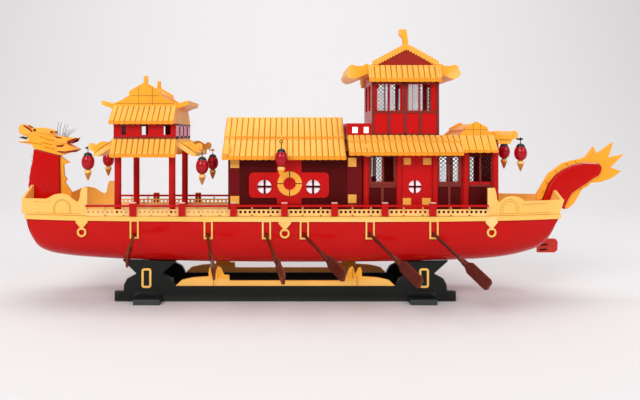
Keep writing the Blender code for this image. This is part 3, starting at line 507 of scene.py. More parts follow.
def rows_tree():
    """Geometry Nodes: copies of a cell in columns and rows, each turned a little."""
    tree, given, out = new_group("Rows of cells", [
        ("Geometry", "Geometry", None), ("Columns", "Int", 1),
        ("Rows", "Int", 1), ("Start", "Vector", None),
        ("Column Step", "Vector", None), ("Row Step", "Vector", None),
        ("Wobble", "Float", 0.0), ("Seed", "Int", 7),
        ("Material", "Material", None)],
        [("Geometry", "Geometry")], "GeometryNodeTree")
    tree.is_modifier = True
    index = tree.nodes.new("GeometryNodeInputIndex").outputs[0]
    total = maths(tree, "MULTIPLY", given["Columns"], given["Rows"])
    column = maths(tree, "MODULO", index, given["Columns"])
    row = maths(tree, "FLOOR", maths(tree, "DIVIDE", index, given["Columns"]))
    across = add_node(tree, "ShaderNodeVectorMath", {
        0: given["Column Step"], 1: column, 2: given["Start"]}, operation="MULTIPLY_ADD")
    place = add_node(tree, "ShaderNodeVectorMath", {
        0: given["Row Step"], 1: row, 2: across.outputs[0]}, operation="MULTIPLY_ADD")
    points = add_node(tree, "GeometryNodePoints", {"Count": total, "Position": place.outputs[0]})
    turn = add_node(tree, "FunctionNodeRandomValue", {
        0: maths(tree, "MULTIPLY", given["Wobble"], -1.0), 1: given["Wobble"], "Seed": given["Seed"]},
        data_type="FLOAT_VECTOR")
    copies = add_node(tree, "GeometryNodeInstanceOnPoints", {
        "Points": points.outputs[0], "Instance": given["Geometry"], "Rotation": turn.outputs[0]})
    solid = add_node(tree, "GeometryNodeRealizeInstances", {"Geometry": copies.outputs[0]})
    painted = add_node(tree, "GeometryNodeSetMaterial", {
        "Geometry": solid.outputs[0], "Material": given["Material"]})
    tree.links.new(painted.outputs[0], out.inputs["Geometry"])
    return tree


def repeated(cell, finish_name, count, start, step, **more):
    """The mesh of a cell set out by the rows tree; more holds the tree's other inputs, by name."""
    mesh = bpy.data.meshes.new("cell")
    cell.mesh.to_mesh(mesh)
    cell.mesh.free()
    made = bpy.data.objects.new("cell", mesh)
    bpy.context.scene.collection.objects.link(made)
    modifier = made.modifiers.new("rows", "NODES")
    modifier.node_group = groups["rows"]
    values = {"Columns": count, "Start": start, "Column Step": step, **more}
    values["Material"] = finishes[finish_name]
    for item in groups["rows"].interface.items_tree:
        if item.in_out == "INPUT" and item.name in values:
            modifier[item.identifier] = values[item.name]
    result = as_mesh(made)
    bpy.data.objects.remove(made, do_unlink=True)
    return result


# Pieces


def edge_at(x):
    """Half beam of the deck's edge at x."""
    for before, after in zip(EDGE_STATIONS, EDGE_STATIONS[1:]):
        if before[0] <= x <= after[0]:
            share = (x - before[0]) / (after[0] - before[0])
            return before[1] + share * (after[1] - before[1])


def hull_values(share):
    """Half beam and keel height at a share of the stations, on a smooth curve through them."""
    last = len(HULL_STATIONS) - 1
    at = share * last
    index = min(int(at), last - 1)
    t = at - index
    rows = [HULL_STATIONS[min(max(index + k, 0), last)] for k in (-1, 0, 1, 2)]
    values = []
    for a, b, c, d in zip(*rows):
        values.append(0.5 * (2 * b + (c - a) * t + (2 * a - 5 * b + 4 * c - d) * t * t
                             + (3 * b - a - 3 * c + d) * t ** 3))
    return values


class BOAT_OT_hull(bpy.types.Operator):
    """Hull, turned fair between its sections"""
    bl_idname = "boat.hull"
    bl_label = "Hull"

    def execute(self, context):
        shape = Shape()
        steps, around = 100, 40
        rings = []
        for i in range(steps + 1):
            x, beam, keel = hull_values(i / steps)
            ring = []
            for k in range(around + 1):
                turn = math.pi * k / around
                across, down = math.cos(turn), math.sin(turn)
                y = math.copysign(abs(across) ** (2 / HULL_POWER), across) * beam
                ring.append((x, y, HULL_TOP - (HULL_TOP - keel) * max(0.0, down) ** (2 / HULL_POWER)))
            rings.append(ring)
        shape.loft(rings)
        finish_piece(shape, "hull_fair", "hull lacquer", stands_for=("hull",), smooth=35)
        return {"FINISHED"}


# Sawn boards, columns and oars: finish, edge rounding in millimetres, nodes
SAWN_BOARDS = (
    ("pale paint", 0.3, "deck", "gunwale_port", "gunwale_starboard"),
    ("trim lacquer", 0.3, "fence_rail_port", "fence_rail_starboard"),
    ("pale paint", 0.5, "bow_bulwark", "stern_bulwark"),
    ("hull lacquer", 1.2, "dragon_neck"), ("roof paint", 1.2, "dragon_head"),
    ("roof paint", 0.7, "neck_crest"), ("hull lacquer", 1.5, "tail_body"), ("roof paint", 0.7, "tail_fin"),
    ("roof paint", 0.3, "front_lower_roof"), ("trim lacquer", 0.3, "front_upper_walls"),
    ("roof paint", 0.3, "front_upper_roof"), ("cabin lacquer", 0.3, "cabin_walls"),
    ("panel lacquer", 0.4, "cabin_panel_port", "cabin_panel_starboard"),
    ("roof paint", 0.3, "cabin_roof"), ("trim lacquer", 0.3, "tower_lower_walls"),
    ("roof paint", 0.3, "tower_lower_roof"), ("trim lacquer", 0.3, "tower_balcony", "tower_upper_walls"),
    ("roof paint", 0.3, "tower_upper_roof"), ("trim lacquer", 0.3, "rear_walls"),
    ("roof paint", 0.3, "rear_roof"), ("cradle lacquer", 0.5, "cradle_side_port", "cradle_side_starboard"),
    ("roof paint", 0.4, "cradle_fret_port", "cradle_fret_starboard"),
    ("cradle lacquer", 0.6, "cradle_beam_fore", "cradle_beam_aft"),
    ("trim lacquer", 0.3, *("front_column_%d" % k for k in range(1, 5))),
    ("oar varnish", 0.4, *("oar_%s_%d" % (word, k) for word in SIDES.values() for k in range(1, 7))),
)


class BOAT_OT_boards(bpy.types.Operator):
    """Sawn boards, columns and oars, with their edges rounded"""
    bl_idname = "boat.boards"
    bl_label = "Boards"

    def execute(self, context):
        for finish_name, edge, *nodes in SAWN_BOARDS:
            for node in nodes:
                softened(node, finish_name, edge)
        softened("rudder", "rudder paint", 0.5, body="rudder")
        return {"FINISHED"}


# Tiled roofs: where the tiles begin and end along the boat, how many, the height of the eave's
# front, then each slope as distance from the middle and height at its top and at its foot
TILED_ROOFS = {
    "cabin": (-126.5, 27, 21, 3.5, ((3, 233.8, 33.5, 208.5), (32, 205.6, 60.5, 184.5))),
    "tower_lower": (30, 170, 19, 3.5, ((40, 210, 51, 203.5), (49.5, 201.2, 65.5, 190))),
    "tower_upper": (57, 146.5, 13, 3.5, ((40, 298.5, 50, 281.5),)),
    "front_lower": (-265, -184, 12, 3.5, ((50, 206, 60, 187.5),)),
    "front_upper": (-266, -185.5, 12, 3, ((41, 247.5, 60, 228),)),
    "rear": (170.3, 215.3, 5, 2.2, ((42, 210, 56.5, 192),)),
}
# End slopes of the front pavilion's lower roof: wall, way out along X; 12 tiles from Y -45 to 45
FRONT_ENDS = ((-262, -1), (-187, 1))


def slope_matrix(corner, along, down):
    """Carries a slope's own axes (along the eave, down the slope, outwards) to the boat."""
    made = Matrix((along, down.normalized(), along.cross(down).normalized())).transposed().to_4x4()
    made.translation = corner
    return made


def tile_slope(tiles, bed, corner, along, down, width, count):
    """One slope of tiles over its bed; corner is the start of the slope's upper edge."""
    size = sizes()
    pitch, reach = width / count, down.length
    half = (pitch - size["tile_gap"]) / 2
    cell = Shape()
    rings = []
    for y, share, rise in ((0, 0.94, 1), (reach - 2.4, 0.97, 1), (reach - 0.8, 0.99, 0.92),
                           (reach + 0.2, 0.9, 0.62)):
        w, h = half * share, size["tile_height"] * rise
        rings.append([(-w, y, -0.5), (-w, y, h * 0.45), (-w * 0.72, y, h * 0.92), (0, y, h),
                      (w * 0.72, y, h * 0.92), (w, y, h * 0.45), (w, y, -0.5)])
    cell.loft(rings)
    matrix = slope_matrix(corner, along, down)
    tiles.take(repeated(cell, "roof paint", count, (pitch / 2, 0, 0), (pitch, 0, 0),
                        Wobble=TILE_WOBBLE, Seed=count), matrix)
    # the bed is a dark sheet under the tiles: painted shade showing in the grooves between them
    under = Shape()
    under.block((0.3, width - 0.3), (0.2, reach - 0.4), (-0.4, 0.12))
    plain = bpy.data.meshes.new("bed")
    under.mesh.to_mesh(plain)
    bed.take(plain, matrix)


def eave_drops(shape, start, end, count, across, top, depth, side):
    """The scalloped front of an eave, one drop for each tile, in a darker paint that stands for its shade.
    """
    pitch = (end - start) / count
    half = pitch / 2 - 0.1
    outline = [(half, top), (-half, top)] + [
        (half * math.cos(t), top - depth - 0.9 * math.sin(-t)) for t in between(-math.pi, 0, 6)]
    cell = Shape()
    cell.board("XZ", outline, *faces_at(side, across - 0.3, across + 0.55))
    shape.take(repeated(cell, "eave shade paint", count, (start + pitch / 2, 0, 0), (pitch, 0, 0)))


class BOAT_OT_roofs(bpy.types.Operator):
    """Tiles over dark beds of painted shade, and the scalloped eaves in a darker paint for shade, on all
    roofs
    """
    bl_idname = "boat.roofs"
    bl_label = "Roofs"

    def execute(self, context):
        for name, (start, end, count, depth, slopes) in TILED_ROOFS.items():
            tiles, bed, eaves = Shape(), Shape(), Shape()
            for side in SIDES:
                for upper, upper_z, lower, lower_z in slopes:
                    corner = Vector((start if side > 0 else end, side * upper, upper_z))
                    down = Vector((0, side * (lower - upper), lower_z - upper_z))
                    tile_slope(tiles, bed, corner, Vector((side, 0, 0)), down, end - start, count)
                eave_drops(eaves, start, end, count, slopes[-1][2], slopes[-1][3] - 0.2, depth, side)
            if name == "front_lower":
                for wall, way in FRONT_ENDS:
                    corner = Vector((wall + 2 * way, 45 * way, 205))
                    down = Vector((25 * way, 0, -17.5))
                    tile_slope(tiles, bed, corner, Vector((0, -way, 0)), down, 90, 12)
            finish_piece(tiles, name + "_tiles", "roof paint", smooth=50)
            finish_piece(bed, name + "_bed", "groove shade paint")
            finish_piece(eaves, name + "_eaves", "eave shade paint")
        return {"FINISHED"}


def window_rows(sill, below, *posts):
    """The frame of a window in the lower storeys; below is the post under its sill, as x from and to."""
    rows = [(148, 188.5, 43.6, 45.2, *posts), (sill, 148, 43.6, 45.5, (posts[0][0], posts[-1][1]))]
    if below:
        pane = (posts[0][1], posts[-1][0])
        rows += [(183, 186.5, 43.6, 45, pane), (148, 152, 43.6, 44.8, pane), (112, sill, 43.6, 45.2, below)]
    return rows


# Boards on both side walls, by finish: bottom, top, near and far from the middle, then each x from and to
WALL_BOARDS = {
    "maroon lacquer": ((111.8, 187.6, 46.1, 47.3, (-119.4, -105.5), (29, 47.4)),),
    "roof paint": (
        (169.6, 179.7, 46.7, 47.9, (-117.2, -106)), (124.4, 134.4, 46.7, 47.9, (-117.2, -106)),
        (171.1, 182.3, 46.7, 47.9, (30, 40.6)), (125.6, 136.3, 46.7, 47.9, (30, 40.6)),
        (173.5, 182, 44.2, 45.3, (100.2, 109.2), (124.6, 135)),
        (122.5, 131.6, 44.2, 45.3, (99, 109.4), (123.4, 134.1)),
    ),
    "cabin lacquer": (
        (112, 187.5, 46.1, 46.8, (-105.5, -96)), (112, 144.7, 43.6, 44.7, (57.5, 90.5)),
        (112, 145.8, 43.6, 44.7, (143.6, 172), (182, 211)), (183, 190, 43.6, 44.6, (181, 212)),
    ),
    "frame lacquer": (
        *window_rows(144.7, (71.8, 75.2), (56.8, 59.8), (72.8, 75.4), (88.1, 91.5)),
        *window_rows(145.8, (156, 159), (142.9, 145), (156, 158), (169, 172.6)),
        *window_rows(145.8, None, (181, 183), (195.5, 197.5), (210, 212)),
        # tower's upper storey
        (210.6, 287.2, 37.6, 39.3, (60.9, 64.2)), (241, 287.2, 37.6, 39.3, (99.9, 105)),
        (210.6, 287.2, 37.6, 39.3, (143, 146)), (238.6, 241.4, 37.6, 39.8, (61, 146)),
        (211, 238.6, 37.6, 39.3, (81.2, 84.6), (101.6, 105), (120.8, 124.2)),
        (275.4, 278.6, 37.6, 39.3, (61, 146)), (210.6, 212.6, 37.6, 39.3, (61, 146)),
        # front pavilion's upper room
        (206.6, 208.4, 51.6, 52.8, (-262, -184.5)), (223, 224.6, 51.6, 52.8, (-262, -184.5)),
    ),
    "panel lacquer": (
        (212.6, 238.6, 37.6, 38.5, (64.2, 81.2), (84.6, 101.6), (105, 120.8), (124.2, 143)),
    ),
}
# Boards across the ends, by finish: bottom, top, x from and to, then each y from and to
END_BOARDS = {
    "pink lacquer": (
        (206.8, 224.5, -184.8, -184, (-51.5, -32.5), (-23.5, -4.5), (4.5, 23.5), (32.5, 51.5)),
        (206.8, 209.5, -184.8, -184, (-51.5, 51.5)), (222.5, 224.5, -184.8, -184, (-51.5, 51.5)),
        (228.4, 238.6, -187.9, -185.7, (-40.6, 40.6)),
    ),
    "cabin lacquer": ((112, 166, 47.7, 48.5, (-45, 45)),),
}
# Round windows: x, z, radius, distance of the wall from the middle, height of the ring on it
ROUND_WINDOWS = ((-74.4, 146, 8.9, 46.5, 2.6), (-13.6, 146, 8.9, 46.5, 2.6), (114.5, 145.8, 8.2, 44, 1.2))
# Pale paper behind the window panes, glowing as painted light seen through them, in the rows of side_boards
LIT_PANES = (
    (213.4, 220.9, 36.9, 37.2, (36.4, 43), (50.9, 56.9)),
    (152.2, 182.8, 41.2, 41.5, (66.3, 73), (145.2, 154.4), (163.2, 169), (183.2, 189)),
    (242.2, 274.8, 34.8, 35.1, (70.4, 76.9), (77.9, 82.8), (84.8, 91.2), (108, 112.4), (113.4, 121.2),
     (122.5, 126.2)),
)
# Middle of the ring between the cabin's round windows: x, z
MEDALLION = (-43.0, 150.0)


class BOAT_OT_walls(bpy.types.Operator):
    """Frames, panels and ornaments on the pavilions' walls"""
    bl_idname = "boat.walls"
    bl_label = "Walls"

    def execute(self, context):
        shapes = {}
        for name, rows in WALL_BOARDS.items():
            shapes[name] = Shape()
            side_boards(shapes[name], rows)
        for name, rows in END_BOARDS.items():
            shape = shapes.setdefault(name, Shape())
            for bottom, top, aft, fore, *places in rows:
                for place in places:
                    shape.block((aft, fore), place, (bottom, top))
        for name, shape in shapes.items():
            finish_piece(shape, name.split()[0] + "_boards", name, edge=0.25)
        paper, crosses, rings, notches, medallion, glow = (Shape() for piece in range(6))
        for x, z, radius, face, proud in ROUND_WINDOWS:
            # paper behind each round window glows as painted light
            both(paper, circle(x, z, radius + 0.6, 28), face - 2.6, face - 2.2)
            both(crosses, rectangle(x - radius, x + radius, z - 1.1, z + 1.1), face - 1.6, face + 0.5)
            both(crosses, rectangle(x - 1.1, x + 1.1, z - radius, z + radius), face - 1.6, face + 0.5)
            both(rings, circle(x, z, radius + 1.6, 32), face - 0.4, face + proud, [circle(x, z, radius, 32)])
        # the tower's round window sits in a board of its own
        x, z, radius, face, proud = ROUND_WINDOWS[-1]
        both(rings, rectangle(98.2, 136.3, 112, 190), face - 0.4, face + 0.7, [circle(x, z, radius + 1, 32)])
        x, z = MEDALLION
        for turn in (0, 90, 180, 270):
            both(medallion, arc(x, z, 15.4, turn + 2, turn + 88, 9) + arc(x, z, 7.8, turn + 86, turn + 4, 9),
                 48.0, 49.8)
        # a dark ring under the medallion: painted shade in the gaps between its quarters
        both(notches, circle(x, z, 15.0, 36), 48.0, 48.5, [circle(x, z, 8.2, 36)])
        finish_piece(paper, "window_paper", "glowing window paper")
        finish_piece(crosses, "window_crosses", "cabin lacquer", edge=0.2)
        finish_piece(rings, "window_rings", "panel lacquer", edge=0.3)
        finish_piece(notches, "medallion_notches", "gap shade paint")
        finish_piece(medallion, "medallion", "roof paint", edge=0.3)
        # glowing paper behind the lattice panes: painted light
        side_boards(glow, LIT_PANES)
        finish_piece(glow, "lit_panes", "glowing pane paper")
        return {"FINISHED"}


# Window panes with lattice: bottom, top, distance of the lattice from the middle, then each x from and to
LATTICE_PANES = (
    (152, 183, 42.5, (60, 73), (75, 88), (145, 156), (158, 169), (183, 195.5), (197.5, 210)),
    (242, 275, 36.2, (68, 97), (107, 136)),
)
# Mullions in the tower's upper windows: middle along x
MULLIONS = (77.4, 83.8, 112.9, 121.8)


def lattice_cell(wide, high, bar):
    """Two crossed bars that fill one cell of a lattice."""
    cell = Shape()
    for lean, low in ((1, -0.5), (-1, -0.3)):
        start = Vector((-lean * wide / 2, -high / 2))
        end = -start
        off = Vector((start.y - end.y, end.x - start.x)).normalized() * bar / 2
        cell.board("XZ", (start + off, start - off, end - off, end + off), low, low + 0.8)
    return cell


class BOAT_OT_lattice(bpy.types.Operator):
    """Diagonal lattice in the tower's and the rear room's windows"""
    bl_idname = "boat.lattice"
    bl_label = "Window lattice"

    def execute(self, context):
        size = sizes()
        lattice, bars = Shape(), Shape()
        for bottom, top, distance, *panes in LATTICE_PANES:
            rows = round((top - bottom) / size["lattice_pitch"])
            high = (top - bottom) / rows
            for left, right in panes:
                columns = round((right - left) / size["lattice_pitch"])
                wide = (right - left) / columns
                for side in SIDES:
                    start = (left + wide / 2, side * distance, bottom + high / 2)
                    cell = lattice_cell(wide, high, size["lattice_bar"])
                    lattice.take(repeated(cell, "lattice lacquer", columns, start, (wide, 0, 0),
                                          **{"Rows": rows, "Row Step": (0, 0, high)}))
        finish_piece(lattice, "window_lattice", "lattice lacquer")
        side_boards(bars, [(242, 275, 36, 37.6, *((x - 0.6, x + 0.6) for x in MULLIONS))])
        finish_piece(bars, "window_mullions", "frame lacquer", edge=0.2)
        return {"FINISHED"}


FENCE_ENDS = (-292.5, 200.5)
FENCE_POSTS = (-234.6, -174.6, -111.6, -49.3, 12.0, 73.6, 132.2)
# The fence's fretted board: near and far from the middle, its top, its holes' height, its bars' top
FRET_Y = (60.1, 61.7)
FRET_TOP = 119.2
HOLE_HEIGHT = 116.2
BAR_TOP = 122.4


class BOAT_OT_fence(bpy.types.Operator):
    """Fretted boards with round holes, and pale caps on the fence's posts, a painted highlight on their tops
    """
    bl_idname = "boat.fence"
    bl_label = "Fence"

    def execute(self, context):
        size = sizes()
        edges = (FENCE_ENDS[0], *FENCE_POSTS, FENCE_ENDS[1])
        for side, word in SIDES.items():
            fret, bars, caps = Shape(), Shape(), Shape()
            front = faces_at(side, FRET_Y[1], FRET_Y[1] + 0.5)
            for left, right in zip(edges, edges[1:]):
                count = round((right - left) / size["hole_pitch"])
                pitch = (right - left) / count
                cell = Shape()
                cell.board("XZ", rectangle(-pitch / 2, pitch / 2, FLOOR, FRET_TOP), *faces_at(side, *FRET_Y),
                           [circle(0, HOLE_HEIGHT, size["hole_radius"], 12)])
                fret.take(repeated(cell, "pale paint", count, (left + pitch / 2, 0, 0), (pitch, 0, 0)))
                for x in (left + number * pitch for number in range(0, count + 1, 4)):
                    bars.board("XZ", rectangle(x - 1, x + 1, FLOOR, BAR_TOP), *front)
            for low, high in ((FLOOR, 113), (118.4, 119.6)):
                bars.board("XZ", rectangle(*FENCE_ENDS, low, high), *front)
            # pale caps: painted highlight on the posts' glossy tops
            for x in FENCE_POSTS:
                caps.block((x - 3.6, x + 3.6), (side * 61.4, side * 67.2), (127.3, 128.3))
            finish_piece(fret, "fret_" + word, "pale paint", stands_for=("fence_fret_" + word,))
            finish_piece(bars, "fret_bars_" + word, "pale paint", edge=0.15)
            finish_piece(caps, "post_caps_" + word, "cap highlight paint", edge=0.4)
        return {"FINISHED"}


# Arches on the bow's and the stern's boards: middle along x, half width, top
BULWARK_ARCHES = ((-325.5, 11.5, 131), (-325.5, 9.8, 129.4), (229.5, 12, 131), (229.5, 9, 128.5))
ARCH_FOOT = 113.8
# Lines along the same boards: radius, route of (x, z)
BULWARK_LINES = (
    (0.3, ((-383, 113.4), (-360, 113.4), (-335, 113.4), (-300, 113.4))),
    (0.3, ((206, 113.4), (230, 113.4), (260, 113.4), (285, 113.4))),
    (0.25, ((-383, 127.6), (-362, 127.4), (-348, 126.6), (-340, 128))),
    (0.25, ((246, 124), (260, 124.6), (280, 125.2))),
)


class BOAT_OT_bulwarks(bpy.types.Operator):
    """Engraved lines on the boards of bow and stern"""
    bl_idname = "boat.bulwarks"
    bl_label = "Bulwark lines"

    def execute(self, context):
        routes = list(BULWARK_LINES)
        for x, half, top in BULWARK_ARCHES:
            spring = top - half
            routes.append((0.3, [(x - half, ARCH_FOOT), (x - half, spring)]
                           + arc(x, spring, half, 180, 0, 14) + [(x + half, ARCH_FOOT)]))
        lines = Shape()
        for radius, route in routes:
            for side in SIDES:
                lines.tube([(x, side * (edge_at(x) + 0.05), z) for x, z in route], radius, 6)
        finish_piece(lines, "bulwark_lines", "engraved line")
        return {"FINISHED"}


# Lines on the gables, in the rows of cut_lines
GABLE_LINES = (
    (42.1, 0.35, [(-233.2, 249), (-233.2, 272)], [(-215.9, 249), (-215.9, 270.5)],
     [(-243, 260.4), (-208, 260.4)], [(-262, 250.6), (-189, 250.6)]),
    (41.1, 0.35, [(188.7, 211), (188.7, 225)], [(197.8, 211), (197.8, 224.5)], [(180, 217.6), (206, 217.6)]),
    (40.1, 0.5, [(222, 205.2), (230, 204.6), (237, 204.8)]),
    (44.6, 0.4, [(-285, 190.6), (-279, 195.4), (-268, 202)], [(-181, 202), (-170, 195.4), (-164, 190.6)]),
)
# Knobs of the rear roof's curl: x, z, radius
REAR_KNOBS = ((219.4, 212.9, 3.4), (241.2, 212.4, 3.9))
# Round ends of the cabin's roof: x of each; distance from the middle, z and radius along it
CABIN_ROOF_ENDS = (-121.2, 54.2)
ROOF_END = ((48, 199, 2.6), (52.5, 195.5, 4.6), (56.4, 190, 5.2), (58.4, 185.6, 4.2))
# The same for the two rolls at each end of the tower's upper roof
SKIRT_ENDS = (57.7, 61.2, 142.3, 145.8)
SKIRT_END = ((41, 298.4, 1.8), (46, 289.8, 1.75), (50.2, 282.4, 1.7))
# Verges of the tower's gable: x of the peak and of the feet, heights of both edges at foot and peak
VERGE_PEAK = 104.4
VERGE_FEET = (61.5, 145.5)
VERGE_TOP = (303.4, 326.2)
VERGE_UNDER = (299.6, 319.6)
VERGE_FLAT = 5.0
VERGE_TEETH = 11


def rolls(shape, places, profile, sides):
    """Round rolls down both sides; the profile is distance from the middle, z and radius."""
    for side in SIDES:
        for x in places:
            shape.tube([(x, side * y, z) for y, z, radius in profile],
                       tuple(radius for y, z, radius in profile), sides)


def verge(shape, foot, side):
    """One arm of the tower's verge, with teeth below it and tile ends on top."""
    way = math.copysign(1, VERGE_PEAK - foot)
    width = abs(VERGE_PEAK - foot)
    step = (width - VERGE_FLAT) / VERGE_TEETH
    outline = [(foot, VERGE_TOP[0]), (foot, VERGE_UNDER[0]), (foot + VERGE_FLAT * way, VERGE_UNDER[0]),
               (VERGE_PEAK, VERGE_UNDER[1]), (VERGE_PEAK, VERGE_TOP[1])]
    shape.board("XZ", outline, *faces_at(side, 39.2, 41.8))
    lower = (VERGE_UNDER[1] - VERGE_UNDER[0]) / (width - VERGE_FLAT)
    upper = (VERGE_TOP[1] - VERGE_TOP[0]) / width
    # outline, near and far from the middle, first one's place along the verge and height, slope
    for outline, near, far, inset, height, slope in (
            (rectangle(-1.1, 1.1, -1.2, 1.4), 39.2, 42.3, 6.6, 300.4, lower),
            (rectangle(-1.3, 1.3, -0.8, 0.9), 36, 42.1, 2.2, 304.3, upper)):
        cell = Shape()
        cell.board("XZ", outline, *faces_at(side, near, far))
        shape.take(repeated(cell, "roof paint", VERGE_TEETH, (foot + way * inset, 0, height),
                            (way * step, 0, slope * step)))


class BOAT_OT_gables(bpy.types.Operator):
    """Gable lines, the tower's red gable with its toothed verges, and the rear curl's knobs"""
    bl_idname = "boat.gables"
    bl_label = "Gables"

    def execute(self, context):
        lines, knobs, cabin_ends, gable, verges, skirt_ends = (Shape() for piece in range(6))
        cut_lines(lines, GABLE_LINES)
        finish_piece(lines, "gable_lines", "fine line")
        for x, z, radius in REAR_KNOBS:
            both(knobs, circle(x, z, radius, 20), 36, 40.8)
        finish_piece(knobs, "rear_knobs", "roof paint", edge=0.6)
        rolls(cabin_ends, CABIN_ROOF_ENDS, ROOF_END, 14)
        finish_piece(cabin_ends, "cabin_roof_ends", "roof paint", smooth=60)
        both(gable, [(66, 299.2), (138, 299.2), (104.9, 320.5)], 39.2, 39.9)
        finish_piece(gable, "tower_gable", "gable red")
        for side in SIDES:
            for foot in VERGE_FEET:
                verge(verges, foot, side)
        finish_piece(verges, "tower_verges", "roof paint", edge=0.25)
        rolls(skirt_ends, SKIRT_ENDS, SKIRT_END, 10)
        finish_piece(skirt_ends, "tower_skirt_ends", "roof paint", smooth=50)
        return {"FINISHED"}


# Boards laid on the sides of the dragon's head: distance from the middle, outline (x, z)
HEAD_BOARDS = (
    (9.4, ((-378.2, 220.8), (-370, 220.6), (-362, 219), (-356.4, 216.4), (-355.4, 212), (-362, 211.6),
           (-369, 213), (-375.5, 214))),
    (9.0, ((-354, 210.2), (-343, 209.0), (-334.2, 207.2), (-324.5, 207.2), (-328, 202.2), (-336, 199.6),
           (-346, 200.2), (-354, 204))),
    (9.0, ((-350, 195.8), (-340, 197), (-333.6, 197.6), (-328, 194.6), (-322.8, 191.9), (-328.5, 189.4),
           (-340, 188.2), (-350, 189.4))),
    (8.9, ((-398.6, 216), (-398.6, 220.6), (-394.6, 224.4), (-391.2, 223.6), (-384.6, 218.4), (-383, 214),
           (-388, 210.4), (-394, 211.4))),
)
# Dark red marks on the head: partly red lines and spots, partly painted shade on the undersides of the
# mane's tufts
HEAD_MARKS_AND_SHADE = (
    ((-392.9, 224.4), (-387.2, 221), (-382.2, 216.8), (-382.2, 214.8), (-387.6, 218.6), (-393.2, 222.6)),
    ((-357.6, 216.4), (-354.6, 215.2), (-355.6, 213.2), (-358.4, 214)),
    ((-353, 209.8), (-345, 208.2), (-342, 206.6), (-349, 206.4)),
    ((-336, 202.8), (-326.6, 206.4), (-324.4, 207.6), (-327.6, 201.8), (-335, 199.2)),
    ((-350.5, 197), (-345, 197.4), (-339.6, 198.2), (-341.4, 195.4), (-348, 194.8)),
    ((-350, 189.8), (-338, 189.2), (-322.6, 191.9), (-330, 187.8), (-343, 187.2)),
)
EYE = (-378.6, 217.4, 1.5)
MOUTH = ((-399.2, 207.6), (-389, 205.2), (-388.6, 207.4), (-394, 209))
TEETH = ((-398, 206.9), (-386.4, 206.2), (-386.4, 202.4), (-397, 202.6))
# Cuts on the head, between the lobes of the tail fin and across the tail, in the rows of cut_lines
DRAGON_CUTS = (
    (8.1, 0.4, [(-398, 201.4), (-390, 201.2), (-380, 200.2), (-370, 198.4)],
     [(-372, 209), (-360, 204.4), (-348, 203)], [(-370, 201), (-356, 198)], [(-366, 195), (-352, 192)]),
    (2.2, 0.5, [(291.2, 135.2), (294.8, 135.7)], [(295.6, 150.4), (299.8, 144.8)],
     [(308.4, 163.8), (312.5, 160.1)], [(323.4, 174), (326.2, 170.2)], [(335.2, 177.4), (336.9, 173.3)],
     [(345.4, 139.4), (338.8, 139.6)]),
)
TAIL_CUTS = ((7.0, 0.35, [(316, 160), (330, 147)], [(330, 168), (346, 154.6)]),)
# Scales on the neck: height and number in each row, from the top; every second row is half a scale aft
SCALE_ROWS = ((176, 3), (168.5, 3), (161, 3), (153.5, 3), (146, 2))
SCALE_START = -373
SCALE_PITCH = 8
# Whiskers: foot and tip as (x, z)
WHISKERS = (((-350, 209), (-348.3, 228.5)), ((-344, 209), (-339.5, 225.6)), ((-346, 207), (-337.1, 217.9)),
            ((-342, 207), (-328.9, 219.1)))
# Slots across the rudder's blade: height, x from and to
RUDDER_SLOTS = ((63.6, 289.5, 299), (57.2, 288.5, 298))


class BOAT_OT_dragon(bpy.types.Operator):
    """The dragon head's layers, eyes, teeth and whiskers, and the cuts on neck, tail and fin"""
    bl_idname = "boat.dragon"
    bl_label = "Dragon"

    def execute(self, context):
        layers, marks_and_shade, teeth, whiskers, eyes, cuts, scales, slots = (Shape() for piece in range(8))
        for distance, outline in HEAD_BOARDS:
            both(layers, outline, 6, distance)
        for outline in HEAD_MARKS_AND_SHADE:
            both(marks_and_shade, outline, 6, 9.5)
        both(eyes, circle(*EYE, 14), 7, 9.9)
        both(eyes, MOUTH, 7, 9.6)
        both(teeth, TEETH, 6.6, 7.8)
        arcs = []
        for row, (z, count) in enumerate(SCALE_ROWS):
            for k in range(count):
                x = SCALE_START + SCALE_PITCH * (k + row % 2 / 2)
                arcs.append(arc(x, z, 3.2, 200, 340, 5))
        belly = [[(-386 + (z - 150) / 15, z), (-378, z - 0.8)] for z in between(183, 144, 6)]
        cut_lines(scales, [(7.0, 0.3, *arcs), (7.0, 0.35, *belly)], 5)
        cut_lines(scales, TAIL_CUTS)
        # dark lines in place of cuts: painted shade
        cut_lines(cuts, DRAGON_CUTS)
        for (foot_x, foot_z), (tip_x, tip_z) in WHISKERS:
            middle_x, middle_z = foot_x * 0.4 + tip_x * 0.6 - 1.2, (foot_z + tip_z) / 2
            for y in (-3.5, 3.5):
                whiskers.tube([(foot_x, y, foot_z), (middle_x, y * 1.1, middle_z), (tip_x, y * 1.4, tip_z)],
                              (0.55, 0.45, 0.3), 6)
        finish_piece(layers, "dragon_layers", "roof paint", edge=0.8)
        finish_piece(marks_and_shade, "dragon_marks_and_shade", "red mark and shade paint", edge=0.3)
        finish_piece(eyes, "dragon_eyes", "cap gloss", edge=0.3)
        finish_piece(teeth, "dragon_teeth", "tooth white")
        finish_piece(whiskers, "dragon_whiskers", "grey wire")
        finish_piece(cuts, "dragon_cuts", "groove shade paint")
        finish_piece(scales, "dragon_scales", "panel lacquer")
        # dark boards on the rudder: painted shade in its slots
        for z, left, right in RUDDER_SLOTS:
            both(slots, [(left, z), (right, z + 1), (right, z + 3), (left, z + 2)], 1.6, 2.5)
        finish_piece(slots, "rudder_slots", "gap shade paint", "rudder")
        return {"FINISHED"}


# The bead's middle below the pin where a lantern swings sideways; its longer hook adds the rest elsewhere
LANTERN_DROP = 18.0
LONG_HOOK = 3.0
